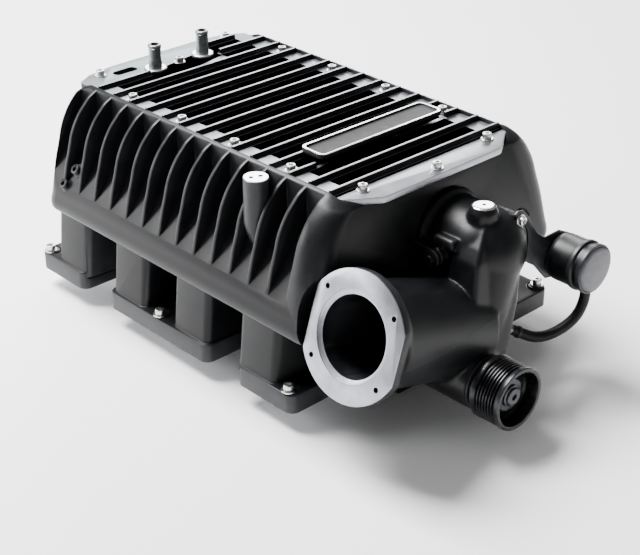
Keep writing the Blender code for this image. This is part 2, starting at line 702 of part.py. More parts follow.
def make_inlet_housing():
    """The throttle flange, its tube, the throat to the rotors and the shaft tunnel."""
    limit = math.degrees(math.acos(-FLANGE_FLAT / FLANGE_RADIUS))
    outline = arc((0.0, 0.0), FLANGE_RADIUS, -limit, limit, 30)
    holes = [arc((u, v), 0.003, 0, 324, 10) for u in left_and_right(0.043) for v in left_and_right(0.0348)]
    mesh = flat_shape("inlet_housing", [outline] + holes, 0.0055)
    face = Matrix.Identity(4)
    across = Vector((0.0, -1.0, 0.0))
    upward = TUBE_DIRECTION.cross(across)
    for row in range(3):
        face[row][0] = across[row]
        face[row][1] = upward[row]
        face[row][2] = TUBE_DIRECTION[row]
        face[row][3] = tube_point(0.0055)[row]
    mesh.transform(face)
    inlet = add_object("inlet_housing", mesh, casting)
    tube = rod("tube_shape", tube_point(0.004), tube_point(TUBE_LENGTH), 0.0535, end_radius=TUBE_RADIUS)
    throat = block("throat_shape", (-0.074, -0.292, THROAT_BOTTOM), (0.050, THROAT_REAR, 0.108))
    seat = extruded("throat_seat_shape", [case_outline(0.1125)], -0.240, END_PLATE_FRONT - GAP, "Y")
    snout = rod("snout_shape", (-ROTOR_PITCH_RADIUS, SNOUT_FRONT, ROTOR_AXIS_Z),
                (-ROTOR_PITCH_RADIUS, -0.245, ROTOR_AXIS_Z), SNOUT_RADIUS)
    leg = elbow_leg("inlet_leg_shape", 0.040, 0.027)
    above = block("inlet_leg_limit", (-0.1, -0.4, ELBOW_SPLIT_Z), (0.1, -0.2, 0.3))
    cut(leg, above)
    hose_end = Vector(HOSE_ROUTE[-1])
    heading = (hose_end - Vector(HOSE_ROUTE[-2])).normalized()
    nipple = rod("nipple_shape", hose_end + heading * 0.001, hose_end + heading * 0.012, 0.0042, sides=16)
    collar = rod("nipple_collar_shape", hose_end + heading * GAP, hose_end + heading * 0.003, 0.0058,
                 sides=16)
    join(inlet, tube, throat, seat, snout, leg, nipple, collar)

    tube_bore = rod("tube_bore_cutter", tube_point(-LIP), tube_point(0.150), THROTTLE_BORE, sides=30)
    hollow = block("throat_hollow_cutter", (-0.066, -0.285, THROAT_BOTTOM + 0.008), (0.042, -0.2340, 0.100))
    mouth = block("throat_mouth_cutter", (-0.080, -0.2350, 0.0145), (0.080, -0.2080, 0.100))
    leg_hollow = elbow_leg("inlet_leg_cutter", 0.030, 0.020)
    cut(inlet, tube_bore, hollow, mouth, leg_hollow)
    tunnel = rod("tunnel_shape", (-ROTOR_PITCH_RADIUS, SNOUT_FRONT + 0.001, ROTOR_AXIS_Z),
                 (-ROTOR_PITCH_RADIUS, -0.2120, ROTOR_AXIS_Z), 0.0135, sides=24)
    bore = rod("shaft_bore_cutter", (-ROTOR_PITCH_RADIUS, SNOUT_FRONT - LIP, ROTOR_AXIS_Z),
               (-ROTOR_PITCH_RADIUS, -0.2080, ROTOR_AXIS_Z), 0.0105, sides=24)
    pocket = rod("snout_bearing_cutter", (-ROTOR_PITCH_RADIUS, SNOUT_FRONT - LIP, ROTOR_AXIS_Z),
                 (-ROTOR_PITCH_RADIUS, SNOUT_FRONT + BEARING_WIDTH + 2 * GAP, ROTOR_AXIS_Z), 0.0173,
                 sides=24)
    join(inlet, tunnel)
    cut(inlet, bore, pocket)
    return inlet


def make_snout_nose():
    """The cover that holds the bearing in at the front of the snout."""
    profile = [(0.0240, 0.0076), (0.0265, 0.0060), (0.0265, 0.0030), (0.0285, 0.0022), (0.0285, 0.0),
               (0.0105, 0.0), (0.0105, 0.0076)]
    nose = turned("snout_nose", profile, (-ROTOR_PITCH_RADIUS, SNOUT_FRONT - GAP, ROTOR_AXIS_Z),
                  (0, -1, 0), casting, closed=True)
    return shaded(nose)


def make_bypass_housing():
    """The elbow that carries the bypass air, with the boss on its top."""
    rear = ELBOW_SEAT_Y - GAP
    elbow = rod("bypass_housing", (ELBOW_X, ELBOW_Y, ELBOW_Z), (ELBOW_X, rear, ELBOW_Z), ELBOW_RADIUS,
                casting, sides=28)
    dome = ball("elbow_dome_shape", (ELBOW_X, ELBOW_Y, ELBOW_Z), ELBOW_RADIUS + 0.0005, sides=20)
    collar = rod("elbow_collar_shape", (ELBOW_X, -0.2455, ELBOW_Z), (ELBOW_X, rear, ELBOW_Z), COLLAR_RADIUS,
                 sides=28)
    leg = elbow_leg("elbow_leg_shape", 0.040, 0.027)
    boss = rod("top_boss_shape", (0.005, -0.292, 0.195), (0.005, -0.292, 0.219), 0.0165,
               end_radius=0.011, sides=24)
    stud = rod("bracket_stud_shape", (0.038, -0.280, 0.198), (0.038, CAN_REAR + 0.0032, 0.198), 0.006,
               sides=16)
    bushes = rod("valve_bush_shape", (-0.036, VALVE_Y, ELBOW_Z), (0.064, VALVE_Y, ELBOW_Z), 0.009, sides=20)
    join(elbow, dome, collar, leg, boss, stud, bushes)
    below = block("elbow_split_cutter", (-0.1, -0.4, 0.0), (0.1, -0.2, ELBOW_SPLIT_Z + GAP))
    tube_clear = rod("tube_clear_cutter", tube_point(0.0), tube_point(TUBE_LENGTH + 2 * GAP),
                     0.0535 + 2 * GAP, end_radius=TUBE_RADIUS + 2 * GAP)
    passage = rod("bypass_passage_cutter", (ELBOW_X, ELBOW_Y, ELBOW_Z), (ELBOW_X, rear + LIP, ELBOW_Z),
                  BYPASS_BORE, sides=28)
    hollow = ball("elbow_hollow_cutter", (ELBOW_X, ELBOW_Y, ELBOW_Z), 0.0335, sides=16)
    leg_hollow = elbow_leg("elbow_leg_cutter", 0.030, 0.020)
    shaft_bore = rod("valve_shaft_cutter", (-0.040, VALVE_Y, ELBOW_Z), (0.070, VALVE_Y, ELBOW_Z),
                     VALVE_SHAFT_RADIUS + GAP, sides=16)
    boss_hole = rod("boss_hole_cutter", (0.005, -0.292, 0.212), (0.005, -0.292, 0.223), 0.003, sides=12)
    cut(elbow, below, tube_clear, passage, hollow, leg_hollow, shaft_bore, boss_hole)
    return elbow


# ---------------------------------------------------------------- moving pieces of the bypass
def make_bypass_valve():
    """The valve's shaft, plate, stop lever and drive lever, all on one axis."""
    rod("bypass_shaft", (-0.0465, VALVE_Y, ELBOW_Z), (0.1005, VALVE_Y, ELBOW_Z), VALVE_SHAFT_RADIUS, steel,
        sides=16)
    plate = rod("bypass_plate", (ELBOW_X, VALVE_Y - 0.0015, ELBOW_Z), (ELBOW_X, VALVE_Y + 0.0015, ELBOW_Z),
                BYPASS_BORE - 0.0008, brass, sides=32)
    hub = rod("plate_hub_shape", (ELBOW_X - 0.026, VALVE_Y, ELBOW_Z), (ELBOW_X + 0.026, VALVE_Y, ELBOW_Z),
              0.0070, sides=16)
    bore = rod("plate_bore_cutter", (ELBOW_X - 0.040, VALVE_Y, ELBOW_Z),
               (ELBOW_X + 0.040, VALVE_Y, ELBOW_Z), VALVE_SHAFT_RADIUS + GAP, sides=16)
    join(plate, hub)
    cut(plate, bore)

    hole = arc((VALVE_Y, ELBOW_Z), VALVE_SHAFT_RADIUS + GAP, 0, 337.5, 16)
    pointed = arc((VALVE_Y, ELBOW_Z), 0.0105, 95, 315, 9)
    pointed += arc((VALVE_Y + 0.0215, ELBOW_Z + 0.0100), 0.0028, -65, 115, 5)
    extruded("bypass_stop_lever", [pointed, hole], -0.0435, -0.0400, "X", black_steel)

    pin = (VALVE_Y + LEVER_ARM * math.sin(HALF_SWING), ELBOW_Z - LEVER_ARM * math.cos(HALF_SWING))
    heading = math.degrees(math.atan2(pin[1] - ELBOW_Z, pin[0] - VALVE_Y))
    arm = arc((VALVE_Y, ELBOW_Z), 0.0085, heading + 90, heading + 270, 9)
    arm += arc(pin, 0.005, heading - 90, heading + 90, 7)
    lever = extruded("bypass_lever", [arm, hole], 0.0955, 0.0985, "X", black_steel)
    stud = rod("lever_pin_shape", (0.0965, *pin), (0.1085, *pin), 0.0025, sides=12)
    join(lever, stud)


def make_actuator():
    """The vacuum can with its cap, bracket, diaphragm rod, hose nipple and hose."""
    profile = [(0.0245, 0.046), (0.0265, 0.046), (0.0265, 0.036), (CAN_RADIUS, 0.035), (CAN_RADIUS, 0.031),
               (0.0255, 0.030), (0.0255, 0.006), (0.0225, 0.0), (0.0045, 0.0), (0.0045, 0.002),
               (0.0215, 0.002), (0.0235, 0.007), (0.0245, 0.030)]
    shaded(turned("actuator_can", profile, (ROD_X, CAN_REAR, ROD_Z), (0, -1, 0), black_steel, closed=True))
    cap = [(0.0, 0.002), (0.0200, 0.0018), (0.0235, 0.0), (0.0235, -0.0028 + GAP), (0.0, -0.0028 + GAP)]
    shaded(turned("actuator_cap", cap, (ROD_X, CAN_FRONT + 0.002, ROD_Z), (0, -1, 0), satin_plastic))

    hole = arc((ROD_X, ROD_Z), 0.0045, 0, 330, 12)
    beside_dome = arc((ELBOW_X, ELBOW_Z), ELBOW_RADIUS - 0.0038, -28, 62, 7)
    outline = beside_dome + [(0.030, 0.2075), (0.043, 0.2070), (0.067, 0.173), (0.080, 0.163),
                             (0.104, 0.159), (0.121, 0.150), (0.123, 0.125), (0.104, 0.115),
                             (0.082, 0.115), (0.067, 0.136)]
    extruded("actuator_bracket", [outline, hole], CAN_REAR + GAP, CAN_REAR + 0.0029, "Y", black_steel)

    slot_y = VALVE_Y + LEVER_ARM * HALF_SWING
    plate = [(slot_y - 0.008, 0.131), (slot_y + 0.008, 0.131), (slot_y + 0.008, 0.159),
             (slot_y - 0.008, 0.159)]
    slot = [(slot_y - 0.004, 0.1425), (slot_y - 0.004, 0.1555), (slot_y + 0.004, 0.1555),
            (slot_y + 0.004, 0.1425)]
    piston = extruded("actuator_rod", [plate, slot], 0.1022, 0.1050, "X", steel)
    stem = rod("rod_stem_shape", (ROD_X - 0.0004, -0.3200, ROD_Z), (ROD_X - 0.0004, slot_y - 0.006, ROD_Z),
               0.0025, sides=12)
    disc = rod("diaphragm_shape", (ROD_X, -0.3215, ROD_Z), (ROD_X, -0.3185, ROD_Z), 0.0205, sides=24)
    join(piston, stem, disc)

    make_hose()


HOSE_ROUTE = [(0.1201, -0.330, 0.1164), (0.1243, -0.3303, 0.1105), (0.1283, -0.3308, 0.1015),
              (0.1300, -0.331, 0.0895), (0.1270, -0.3308, 0.0765), (0.1195, -0.3295, 0.065),
              (0.1090, -0.3255, 0.056), (0.0975, -0.320, 0.0498), (0.0865, -0.3145, 0.0473),
              (0.0755, -0.3088, 0.0488), (0.0640, -0.302, 0.055), (0.0545, -0.2962, 0.0608)]
HOSE_RADIUS = 0.0058


def smooth_route(points, per_span):
    """Catmull-Rom points along a route."""
    route = [Vector(point) for point in points]
    ends = [route[0] * 2 - route[1]] + route + [route[-1] * 2 - route[-2]]
    smooth = []
    for a, b, c, d in zip(ends, ends[1:], ends[2:], ends[3:]):
        for step in range(per_span):
            t = step / per_span
            smooth.append(0.5 * (2 * b + (c - a) * t + (2 * a - 5 * b + 4 * c - d) * t**2
                                 + (3 * b - a - 3 * c + d) * t**3))
    return smooth + [route[-1]]


def make_hose():
    """The vacuum hose between the can and the inlet's nipple."""
    points = smooth_route(HOSE_ROUTE, 2)
    curve = bpy.data.curves.new("vacuum_hose", "CURVE")
    curve.dimensions = "3D"
    curve.bevel_depth = HOSE_RADIUS
    curve.bevel_resolution = 2
    curve.use_fill_caps = True
    spline = curve.splines.new("POLY")
    spline.points.add(len(points) - 1)
    for point, place in zip(spline.points, points):
        point.co = (*place, 1.0)
    curve.materials.append(rubber)
    hose = bpy.data.objects.new("vacuum_hose", curve)
    parts.objects.link(hose)


# ---------------------------------------------------------------- drive train
def make_drive_train():
    """Input shaft, pulley and its bolt on the drive rotor's axis."""
    axis_start = (-ROTOR_PITCH_RADIUS, 0.0, ROTOR_AXIS_Z)
    front_of_rotor = -0.2150
    rod("drive_shaft", (-ROTOR_PITCH_RADIUS, PULLEY_FRONT + 0.0125, ROTOR_AXIS_Z),
        (-ROTOR_PITCH_RADIUS, front_of_rotor - GAP, ROTOR_AXIS_Z), SHAFT_RADIUS, steel, sides=20)
    hub_face = -PULLEY_FRONT - 0.012
    front = -PULLEY_FRONT
    rear = -PULLEY_REAR
    seat = PULLEY_RADIUS - 0.0028
    bore = SHAFT_RADIUS + GAP
    profile = [(0.0285, front), (PULLEY_RADIUS, front - 0.001), (PULLEY_RADIUS, front - 0.005),
               (seat, front - 0.007), (seat, rear + 0.007), (PULLEY_RADIUS, rear + 0.005),
               (PULLEY_RADIUS, rear + 0.001), (0.0300, rear), (0.0280, rear), (0.0270, rear + 0.010),
               (0.0160, rear + 0.010), (0.0150, rear + 0.001), (bore, rear + 0.001), (bore, hub_face),
               (0.0165, hub_face), (0.0180, hub_face - 0.002), (0.0250, hub_face - 0.004)]
    turned("drive_pulley", profile, axis_start, (0, -1, 0), anodised, closed=True, sides=28)
    bolt = [(0.0, hub_face + 0.0020), (0.0030, hub_face + 0.0020), (0.0030, hub_face + 0.0055),
            (0.0090, hub_face + 0.0055), (0.0115, hub_face + 0.0030), (0.0115, hub_face + GAP),
            (0.0, hub_face + GAP)]
    turned("pulley_bolt", bolt, axis_start, (0, -1, 0), steel, sides=20)

    make_rotor("drive_rotor", -ROTOR_PITCH_RADIUS, 1, 0.0, front_of_rotor, rotor_alloy)
    make_rotor("driven_rotor", ROTOR_PITCH_RADIUS, -1, math.pi / LOBES, -0.2070, rotor_alloy)
    make_gear("drive_gear", -ROTOR_PITCH_RADIUS, 0.0, steel)
    make_gear("driven_gear", ROTOR_PITCH_RADIUS, math.pi + math.pi / GEAR_TEETH, steel)


clear_scene()
parts = make_collection("supercharger")
cutters = make_collection("cutters")
casting = make_material("black_powder_coated_casting", (0.012, 0.012, 0.014), 0.42, 0.0)
satin_cast = make_material("satin_aluminium_casting", (0.42, 0.43, 0.44), 0.40, 1.0)
bright = make_material("machined_aluminium", (0.70, 0.71, 0.72), 0.25, 1.0)
core_alloy = make_material("brazed_aluminium", (0.50, 0.51, 0.52), 0.50, 1.0)
rotor_alloy = make_material("coated_rotor_aluminium", (0.30, 0.31, 0.32), 0.45, 1.0)
zinc = make_material("bright_zinc_steel", (0.66, 0.66, 0.64), 0.28, 1.0)
steel = make_material("turned_steel", (0.42, 0.42, 0.43), 0.30, 1.0)
black_steel = make_material("black_phosphated_steel", (0.02, 0.02, 0.022), 0.45, 0.5)
brass = make_material("yellow_brass", (0.60, 0.43, 0.18), 0.30, 1.0)
anodised = make_material("black_anodised_aluminium", (0.015, 0.015, 0.017), 0.35, 0.6)
rubber = make_material("black_rubber", (0.012, 0.012, 0.012), 0.65, 0.0)
satin_plastic = make_material("grey_satin_plastic", (0.11, 0.11, 0.12), 0.50, 0.0)

make_manifold_housing()
make_lid()
make_lid_bolts()
make_coolant_fittings()
make_intercooler()
make_runners()
make_rotor_case()
make_bearings()
make_end_plate()
make_gear_cover()
make_inlet_housing()
make_snout_nose()
make_bypass_housing()
make_bypass_valve()
make_actuator()
make_drive_train()
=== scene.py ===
"""Looks of a twin-rotor supercharger with an intercooled plenum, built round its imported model.

The frame: X is across the engine, -Y is the front (pulley end), +Z up, with the origin on the flat
belly of the rotor case. All sizes are in metres. Each class below is one sub-assembly: its fields are
its sizes, and its build method makes its pieces and dresses them.
"""

from __future__ import annotations

import json
import logging
import math
from collections.abc import Callable, Iterable, Sequence
from dataclasses import dataclass, field
from enum import Enum

import bmesh
import bpy
from mathutils import Matrix, Vector

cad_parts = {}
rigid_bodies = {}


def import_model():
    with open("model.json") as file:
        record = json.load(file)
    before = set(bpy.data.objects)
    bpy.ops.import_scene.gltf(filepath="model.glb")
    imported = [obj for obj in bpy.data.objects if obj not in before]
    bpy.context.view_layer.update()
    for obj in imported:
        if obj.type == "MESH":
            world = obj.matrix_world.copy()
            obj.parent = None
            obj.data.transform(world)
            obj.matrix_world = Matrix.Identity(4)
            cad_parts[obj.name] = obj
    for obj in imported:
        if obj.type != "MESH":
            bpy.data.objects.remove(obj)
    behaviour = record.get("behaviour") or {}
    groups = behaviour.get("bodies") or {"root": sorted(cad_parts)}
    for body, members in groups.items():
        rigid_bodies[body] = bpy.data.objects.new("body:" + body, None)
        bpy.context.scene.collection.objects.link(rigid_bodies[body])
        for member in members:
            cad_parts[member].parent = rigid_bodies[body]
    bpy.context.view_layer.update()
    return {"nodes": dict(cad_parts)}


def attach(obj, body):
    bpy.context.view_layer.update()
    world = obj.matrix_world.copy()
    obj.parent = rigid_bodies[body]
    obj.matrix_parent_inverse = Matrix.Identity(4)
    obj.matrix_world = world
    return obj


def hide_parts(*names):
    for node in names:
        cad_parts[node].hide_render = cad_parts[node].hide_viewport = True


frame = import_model()

logging.basicConfig(level=logging.INFO, format="%(message)s")
log = logging.getLogger("supercharger")

MM = 0.001
HOUSING = "housing"
Point2 = tuple[float, float]
Point3 = tuple[float, float, float]


class Axis(Enum):
    """The axis that an outline is drawn across."""

    X = "X"
    Y = "Y"
    Z = "Z"


class Join(Enum):
    """What a Boolean does with its second shape."""

    ADD = "UNION"
    CUT = "DIFFERENCE"
    KEEP = "INTERSECT"


# ---------------------------------------------------------------- colour and nodes
def linear(code: str) -> tuple[float, float, float, float]:
    """Turns an sRGB hex colour such as "#2a2b2e" to linear light."""
    levels = [int(code[index:index + 2], 16) / 255 for index in (1, 3, 5)]
    light = [level / 12.92 if level <= 0.04045 else ((level + 0.055) / 1.055) ** 2.4 for level in levels]
    return (light[0], light[1], light[2], 1.0)


def add_node(tree: bpy.types.NodeTree, kind: str, settings: dict | None = None,
             inputs: dict | None = None) -> bpy.types.Node:
    """Adds a node to a tree.

    Args:
        tree: the material's node tree.
        kind: the node's type name.
        settings: values of the node's own properties.
        inputs: values or output sockets for its inputs, by name or number.

    Returns:
        The new node.
    """
    made = tree.nodes.new(kind)
    for name, value in (settings or {}).items():
        setattr(made, name, value)
    for name, value in (inputs or {}).items():
        socket = made.inputs[name]
        if isinstance(value, bpy.types.NodeSocket):
            tree.links.new(value, socket)
        else:
            socket.default_value = value
    return made


@dataclass(frozen=True)
class Finish:
    """A surface finish: what it is made of, and how it was made.

    The base colour wanders between two hex values, and the roughness between two levels, over patches of
    patch_mm. grain_mm is the size of the relief and grain_depth_mm its height. A brushed finish stretches
    its grain along one axis, and a turned one draws rings about an axis.
    """

    name: str
    light: str
    dark: str
    metallic: float
    roughness: tuple[float, float]
    patch_mm: float = 18.0
    grain_mm: float = 1.2
    grain_depth_mm: float = 0.05
    stretch: Point3 = (1.0, 1.0, 1.0)
    coat: float = 0.0
    coat_roughness: float = 0.3
    specular: float = 0.5
    # Colour towards which raised edges are lightened, and its greatest share: partly wear, partly a painted highlight.
    edge_wear_and_highlight: str | None = None
    edge_wear_and_highlight_share: float = 0.0

    def material(self) -> bpy.types.Material:
        """The node material, made once and then shared."""
        known = bpy.data.materials.get(self.name)
        if known is not None:
            return known
        look = bpy.data.materials.new(self.name)
        look.use_nodes = True
        tree = look.node_tree
        shader = tree.nodes["Principled BSDF"]
        place = add_node(tree, "ShaderNodeTexCoord").outputs["Object"]
        stretched = add_node(tree, "ShaderNodeMapping", inputs={"Vector": place, "Scale": self.stretch})
        patches = add_node(tree, "ShaderNodeTexNoise", inputs={
            "Vector": place, "Scale": 1 / (self.patch_mm * MM), "Detail": 4.0, "Roughness": 0.6})
        grain = add_node(tree, "ShaderNodeTexNoise", inputs={
            "Vector": stretched.outputs[0], "Scale": 1 / (self.grain_mm * MM), "Detail": 3.0})
        blend = add_node(tree, "ShaderNodeMapRange", inputs={
            "Value": patches.outputs["Fac"], "From Min": 0.35, "From Max": 0.65})
        colour = add_node(tree, "ShaderNodeMix", {"data_type": "RGBA"}, {
            "Factor": blend.outputs[0], 6: linear(self.dark), 7: linear(self.light)}).outputs[2]
        # Raised edges are lightened: partly wear, partly a painted highlight.
        if self.edge_wear_and_highlight:
            colour = self.edges_worn_and_highlit(tree, colour, patches.outputs["Fac"])
        both = add_node(tree, "ShaderNodeMath", {"operation": "ADD"}, {
            0: patches.outputs["Fac"], 1: grain.outputs["Fac"]})
        rough = add_node(tree, "ShaderNodeMapRange", inputs={
            "Value": both.outputs[0], "From Min": 0.7, "From Max": 1.3,
            "To Min": self.roughness[0], "To Max": self.roughness[1]})
        relief = add_node(tree, "ShaderNodeBump", inputs={
            "Height": grain.outputs["Fac"], "Strength": 1.0, "Distance": self.grain_depth_mm * MM})
        tree.links.new(colour, shader.inputs["Base Color"])
        tree.links.new(rough.outputs[0], shader.inputs["Roughness"])
        tree.links.new(relief.outputs[0], shader.inputs["Normal"])
        shader.inputs["Metallic"].default_value = self.metallic
        shader.inputs["Specular IOR Level"].default_value = self.specular
        shader.inputs["Coat Weight"].default_value = self.coat
        shader.inputs["Coat Roughness"].default_value = self.coat_roughness
        look.diffuse_color = linear(self.light)
        return look

    def edges_worn_and_highlit(self, tree: bpy.types.NodeTree, colour: bpy.types.NodeSocket,
             patches: bpy.types.NodeSocket) -> bpy.types.NodeSocket:
        """Lightens the piece's raised edges towards the edge colour: partly rubbed-through wear, partly a painted
        highlight.

        Args:
            tree: the node tree.
            colour: the finish's own colour.
            patches: a slow noise that breaks the lightening up.

        Returns:
            The colour with its raised edges lightened by wear and painted highlight.
        """
        edges = add_node(tree, "ShaderNodeNewGeometry").outputs["Pointiness"]
        raised = add_node(tree, "ShaderNodeMapRange", inputs={
            "Value": edges, "From Min": 0.515, "From Max": 0.56, "To Max": self.edge_wear_and_highlight_share})
        broken = add_node(tree, "ShaderNodeMath", {"operation": "MULTIPLY"}, {
            0: raised.outputs[0], 1: patches})
        return add_node(tree, "ShaderNodeMix", {"data_type": "RGBA"}, {
            "Factor": broken.outputs[0], 6: colour, 7: linear(self.edge_wear_and_highlight)}).outputs[2]


# Satin black powder coat over cast aluminium: a soft broad sheen, with fine orange peel. Its raised edges, the rib
# crests among them, are lightened: partly wear, partly a painted highlight.
POWDER_COAT = Finish("powder_coated_cast_aluminium", "#0d0e11", "#08090b", 0.0, (0.33, 0.45), 22.0, 1.6, 0.035,
                     specular=0.24, edge_wear_and_highlight="#4c4d52", edge_wear_and_highlight_share=0.5)
# The same coat on the lid, made darker in colour as painted shade for the grooves between its ribs; it also covers the
# lid's other coated faces.
LID_COAT_PAINTED_SHADE = Finish("powder_coat_darkened_as_groove_shade", "#08090b", "#050506", 0.0, (0.42, 0.54), 20.0, 1.6, 0.035,
                  specular=0.2)
# Bare cast aluminium, fly-cut on its crests and pads: pale and satin, with fine cutter lines.
FLY_CUT = Finish("fly_cut_aluminium", "#a9abb1", "#979a9f", 1.0, (0.36, 0.46), 30.0, 0.9, 0.012,
                 stretch=(0.06, 1.0, 1.0))
# The grey flat at the lid's rear, cut and left dull.
DULL_CUT = Finish("dull_cut_aluminium", "#8f979a", "#828a8d", 1.0, (0.42, 0.52), 30.0, 0.9, 0.012,
                  stretch=(1.0, 0.06, 1.0))
# Milled throttle flange: bright, with faint arcs of the cutter.
MILLED = Finish("milled_flange_aluminium", "#a9abb2", "#8b8d94", 1.0, (0.32, 0.42), 34.0, 0.8, 0.012,
                stretch=(1.0, 1.0, 0.08))
# Polished rim of the badge.
POLISHED = Finish("polished_aluminium", "#eceded", "#d9dadc", 1.0, (0.16, 0.26), 10.0, 0.6, 0.004)
# Dark sand-cast field of the badge.
BADGE_FIELD = Finish("sand_cast_badge_field", "#131418", "#0c0d0f", 0.0, (0.58, 0.72), 8.0, 0.9, 0.12)
# Bright zinc plating on steel: pale, a little yellow, with soft glints.
ZINC = Finish("bright_zinc_plated_steel", "#dedfdd", "#bcbdb9", 1.0, (0.22, 0.34), 4.0, 0.5, 0.006)
# Dull nickel on the fittings' base flanges.
NICKEL = Finish("dull_nickel_plate", "#f0f1f1", "#dcdfe0", 1.0, (0.24, 0.36), 5.0, 0.5, 0.006)
# Turned steel with fine rings from the lathe.
TURNED_STEEL = Finish("turned_steel", "#8d9193", "#6f7375", 1.0, (0.28, 0.40), 6.0, 0.4, 0.008,
                      stretch=(1.0, 1.0, 6.0))
# Hardened and ground steel of gears, bearings and shafts.
GROUND_STEEL = Finish("ground_bearing_steel", "#b9bcc0", "#9b9fa4", 1.0, (0.18, 0.28), 9.0, 0.4, 0.004)
# Black phosphated pressed steel: dull, with a faint crystal grain. Its raised edges are lightened: partly wear, partly
# a painted highlight.
PHOSPHATED = Finish("phosphated_pressed_steel", "#0e0f12", "#08090b", 0.2, (0.32, 0.44), 8.0, 0.5, 0.010, specular=0.35,
                    edge_wear_and_highlight="#5a5b60", edge_wear_and_highlight_share=0.5)
# Satin grey moulded nylon, as on the actuator's front cap.
GREY_NYLON = Finish("satin_moulded_nylon", "#66666d", "#58585e", 0.0, (0.38, 0.50), 9.0, 0.7, 0.015)
# Black hard-anodised aluminium of the pulley: dark and metallic; its raised edges are lightened, partly as a painted
# highlight and partly as wear.
ANODISED = Finish("black_anodised_aluminium", "#101114", "#0a0a0c", 0.6, (0.24, 0.34), 10.0, 0.4, 0.004,
                  edge_wear_and_highlight="#77797e", edge_wear_and_highlight_share=0.25)
# Machined, clear-anodised hub face of the pulley.
HUB_FACE = Finish("clear_anodised_hub", "#4d4e53", "#3c3d42", 0.8, (0.30, 0.42), 8.0, 0.4, 0.006)
# Moulded rubber hose: nearly black, soft, with a slight bloom.
RUBBER = Finish("moulded_epdm_rubber", "#0c0c0d", "#070708", 0.0, (0.42, 0.56), 9.0, 0.7, 0.02, specular=0.3)
# Drawn brass of the butterfly plate.
BRASS = Finish("rolled_brass_sheet", "#c9a766", "#b38f4e", 1.0, (0.24, 0.36), 10.0, 0.6, 0.006,
               stretch=(0.1, 1.0, 1.0))
# Brazed aluminium core, slightly clouded by the furnace.
BRAZED = Finish("brazed_aluminium_core", "#b4b8ba", "#999d9f", 1.0, (0.40, 0.58), 9.0, 0.9, 0.04)
# Coated rotor aluminium: matt grey film.
ROTOR_COAT = Finish("abradable_rotor_coating", "#77797c", "#63656a", 0.4, (0.48, 0.62), 12.0, 0.8, 0.02)
# Black screws of the snout and covers.
BLACK_SCREW = Finish("black_oxide_screw_steel", "#2b2c2f", "#1b1c1f", 0.7, (0.28, 0.40), 4.0, 0.5, 0.006)


# ---------------------------------------------------------------- outlines
def arc(centre: Point2, radius: float, first: float, last: float, count: int) -> list[Point2]:
    """Points along an arc, with its angles in degrees."""
    turns = [math.radians(first + (last - first) * index / (count - 1)) for index in range(count)]
    return [(centre[0] + radius * math.cos(turn), centre[1] + radius * math.sin(turn)) for turn in turns]


def rounded_rectangle(low: Point2, high: Point2, corner: float, steps: int = 7) -> list[Point2]:
    """A rectangle between two corners with its own corners rounded."""
    points: list[Point2] = []
    for x, y, first in ((high[0] - corner, high[1] - corner, 0), (low[0] + corner, high[1] - corner, 90),
                        (low[0] + corner, low[1] + corner, 180), (high[0] - corner, low[1] + corner, 270)):
        points += arc((x, y), corner, first, first + 90, steps)
    return points


def smooth_route(points: Sequence[Sequence[float]], per_span: int) -> list[Vector]:
    """Catmull-Rom points along a route, of two or three numbers a point.

    Args:
        points: the route's own points.
        per_span: how many points each span gets.

    Returns:
        The points of the smooth curve, with both ends.
    """
    route = [Vector(point) for point in points]
    ends = [route[0] * 2 - route[1]] + route + [route[-1] * 2 - route[-2]]
    smooth = []
    for a, b, c, d in zip(ends, ends[1:], ends[2:], ends[3:]):
        for step in range(per_span):
            t = step / per_span
            smooth.append(0.5 * (2 * b + (c - a) * t + (2 * a - 5 * b + 4 * c - d) * t**2
                                 + (3 * b - a - 3 * c + d) * t**3))
    return smooth + [route[-1]]


def along(start: Sequence[float], direction: Sequence[float]) -> Matrix:
    """A matrix that puts local +Z along a direction at a point."""
    turn = Vector(direction).to_track_quat("Z", "Y").to_matrix().to_4x4()
    return Matrix.Translation(Vector(start)) @ turn


def both_sides(value: float) -> tuple[float, float]:
    """The same distance on each side of the middle."""
    return (-value, value)


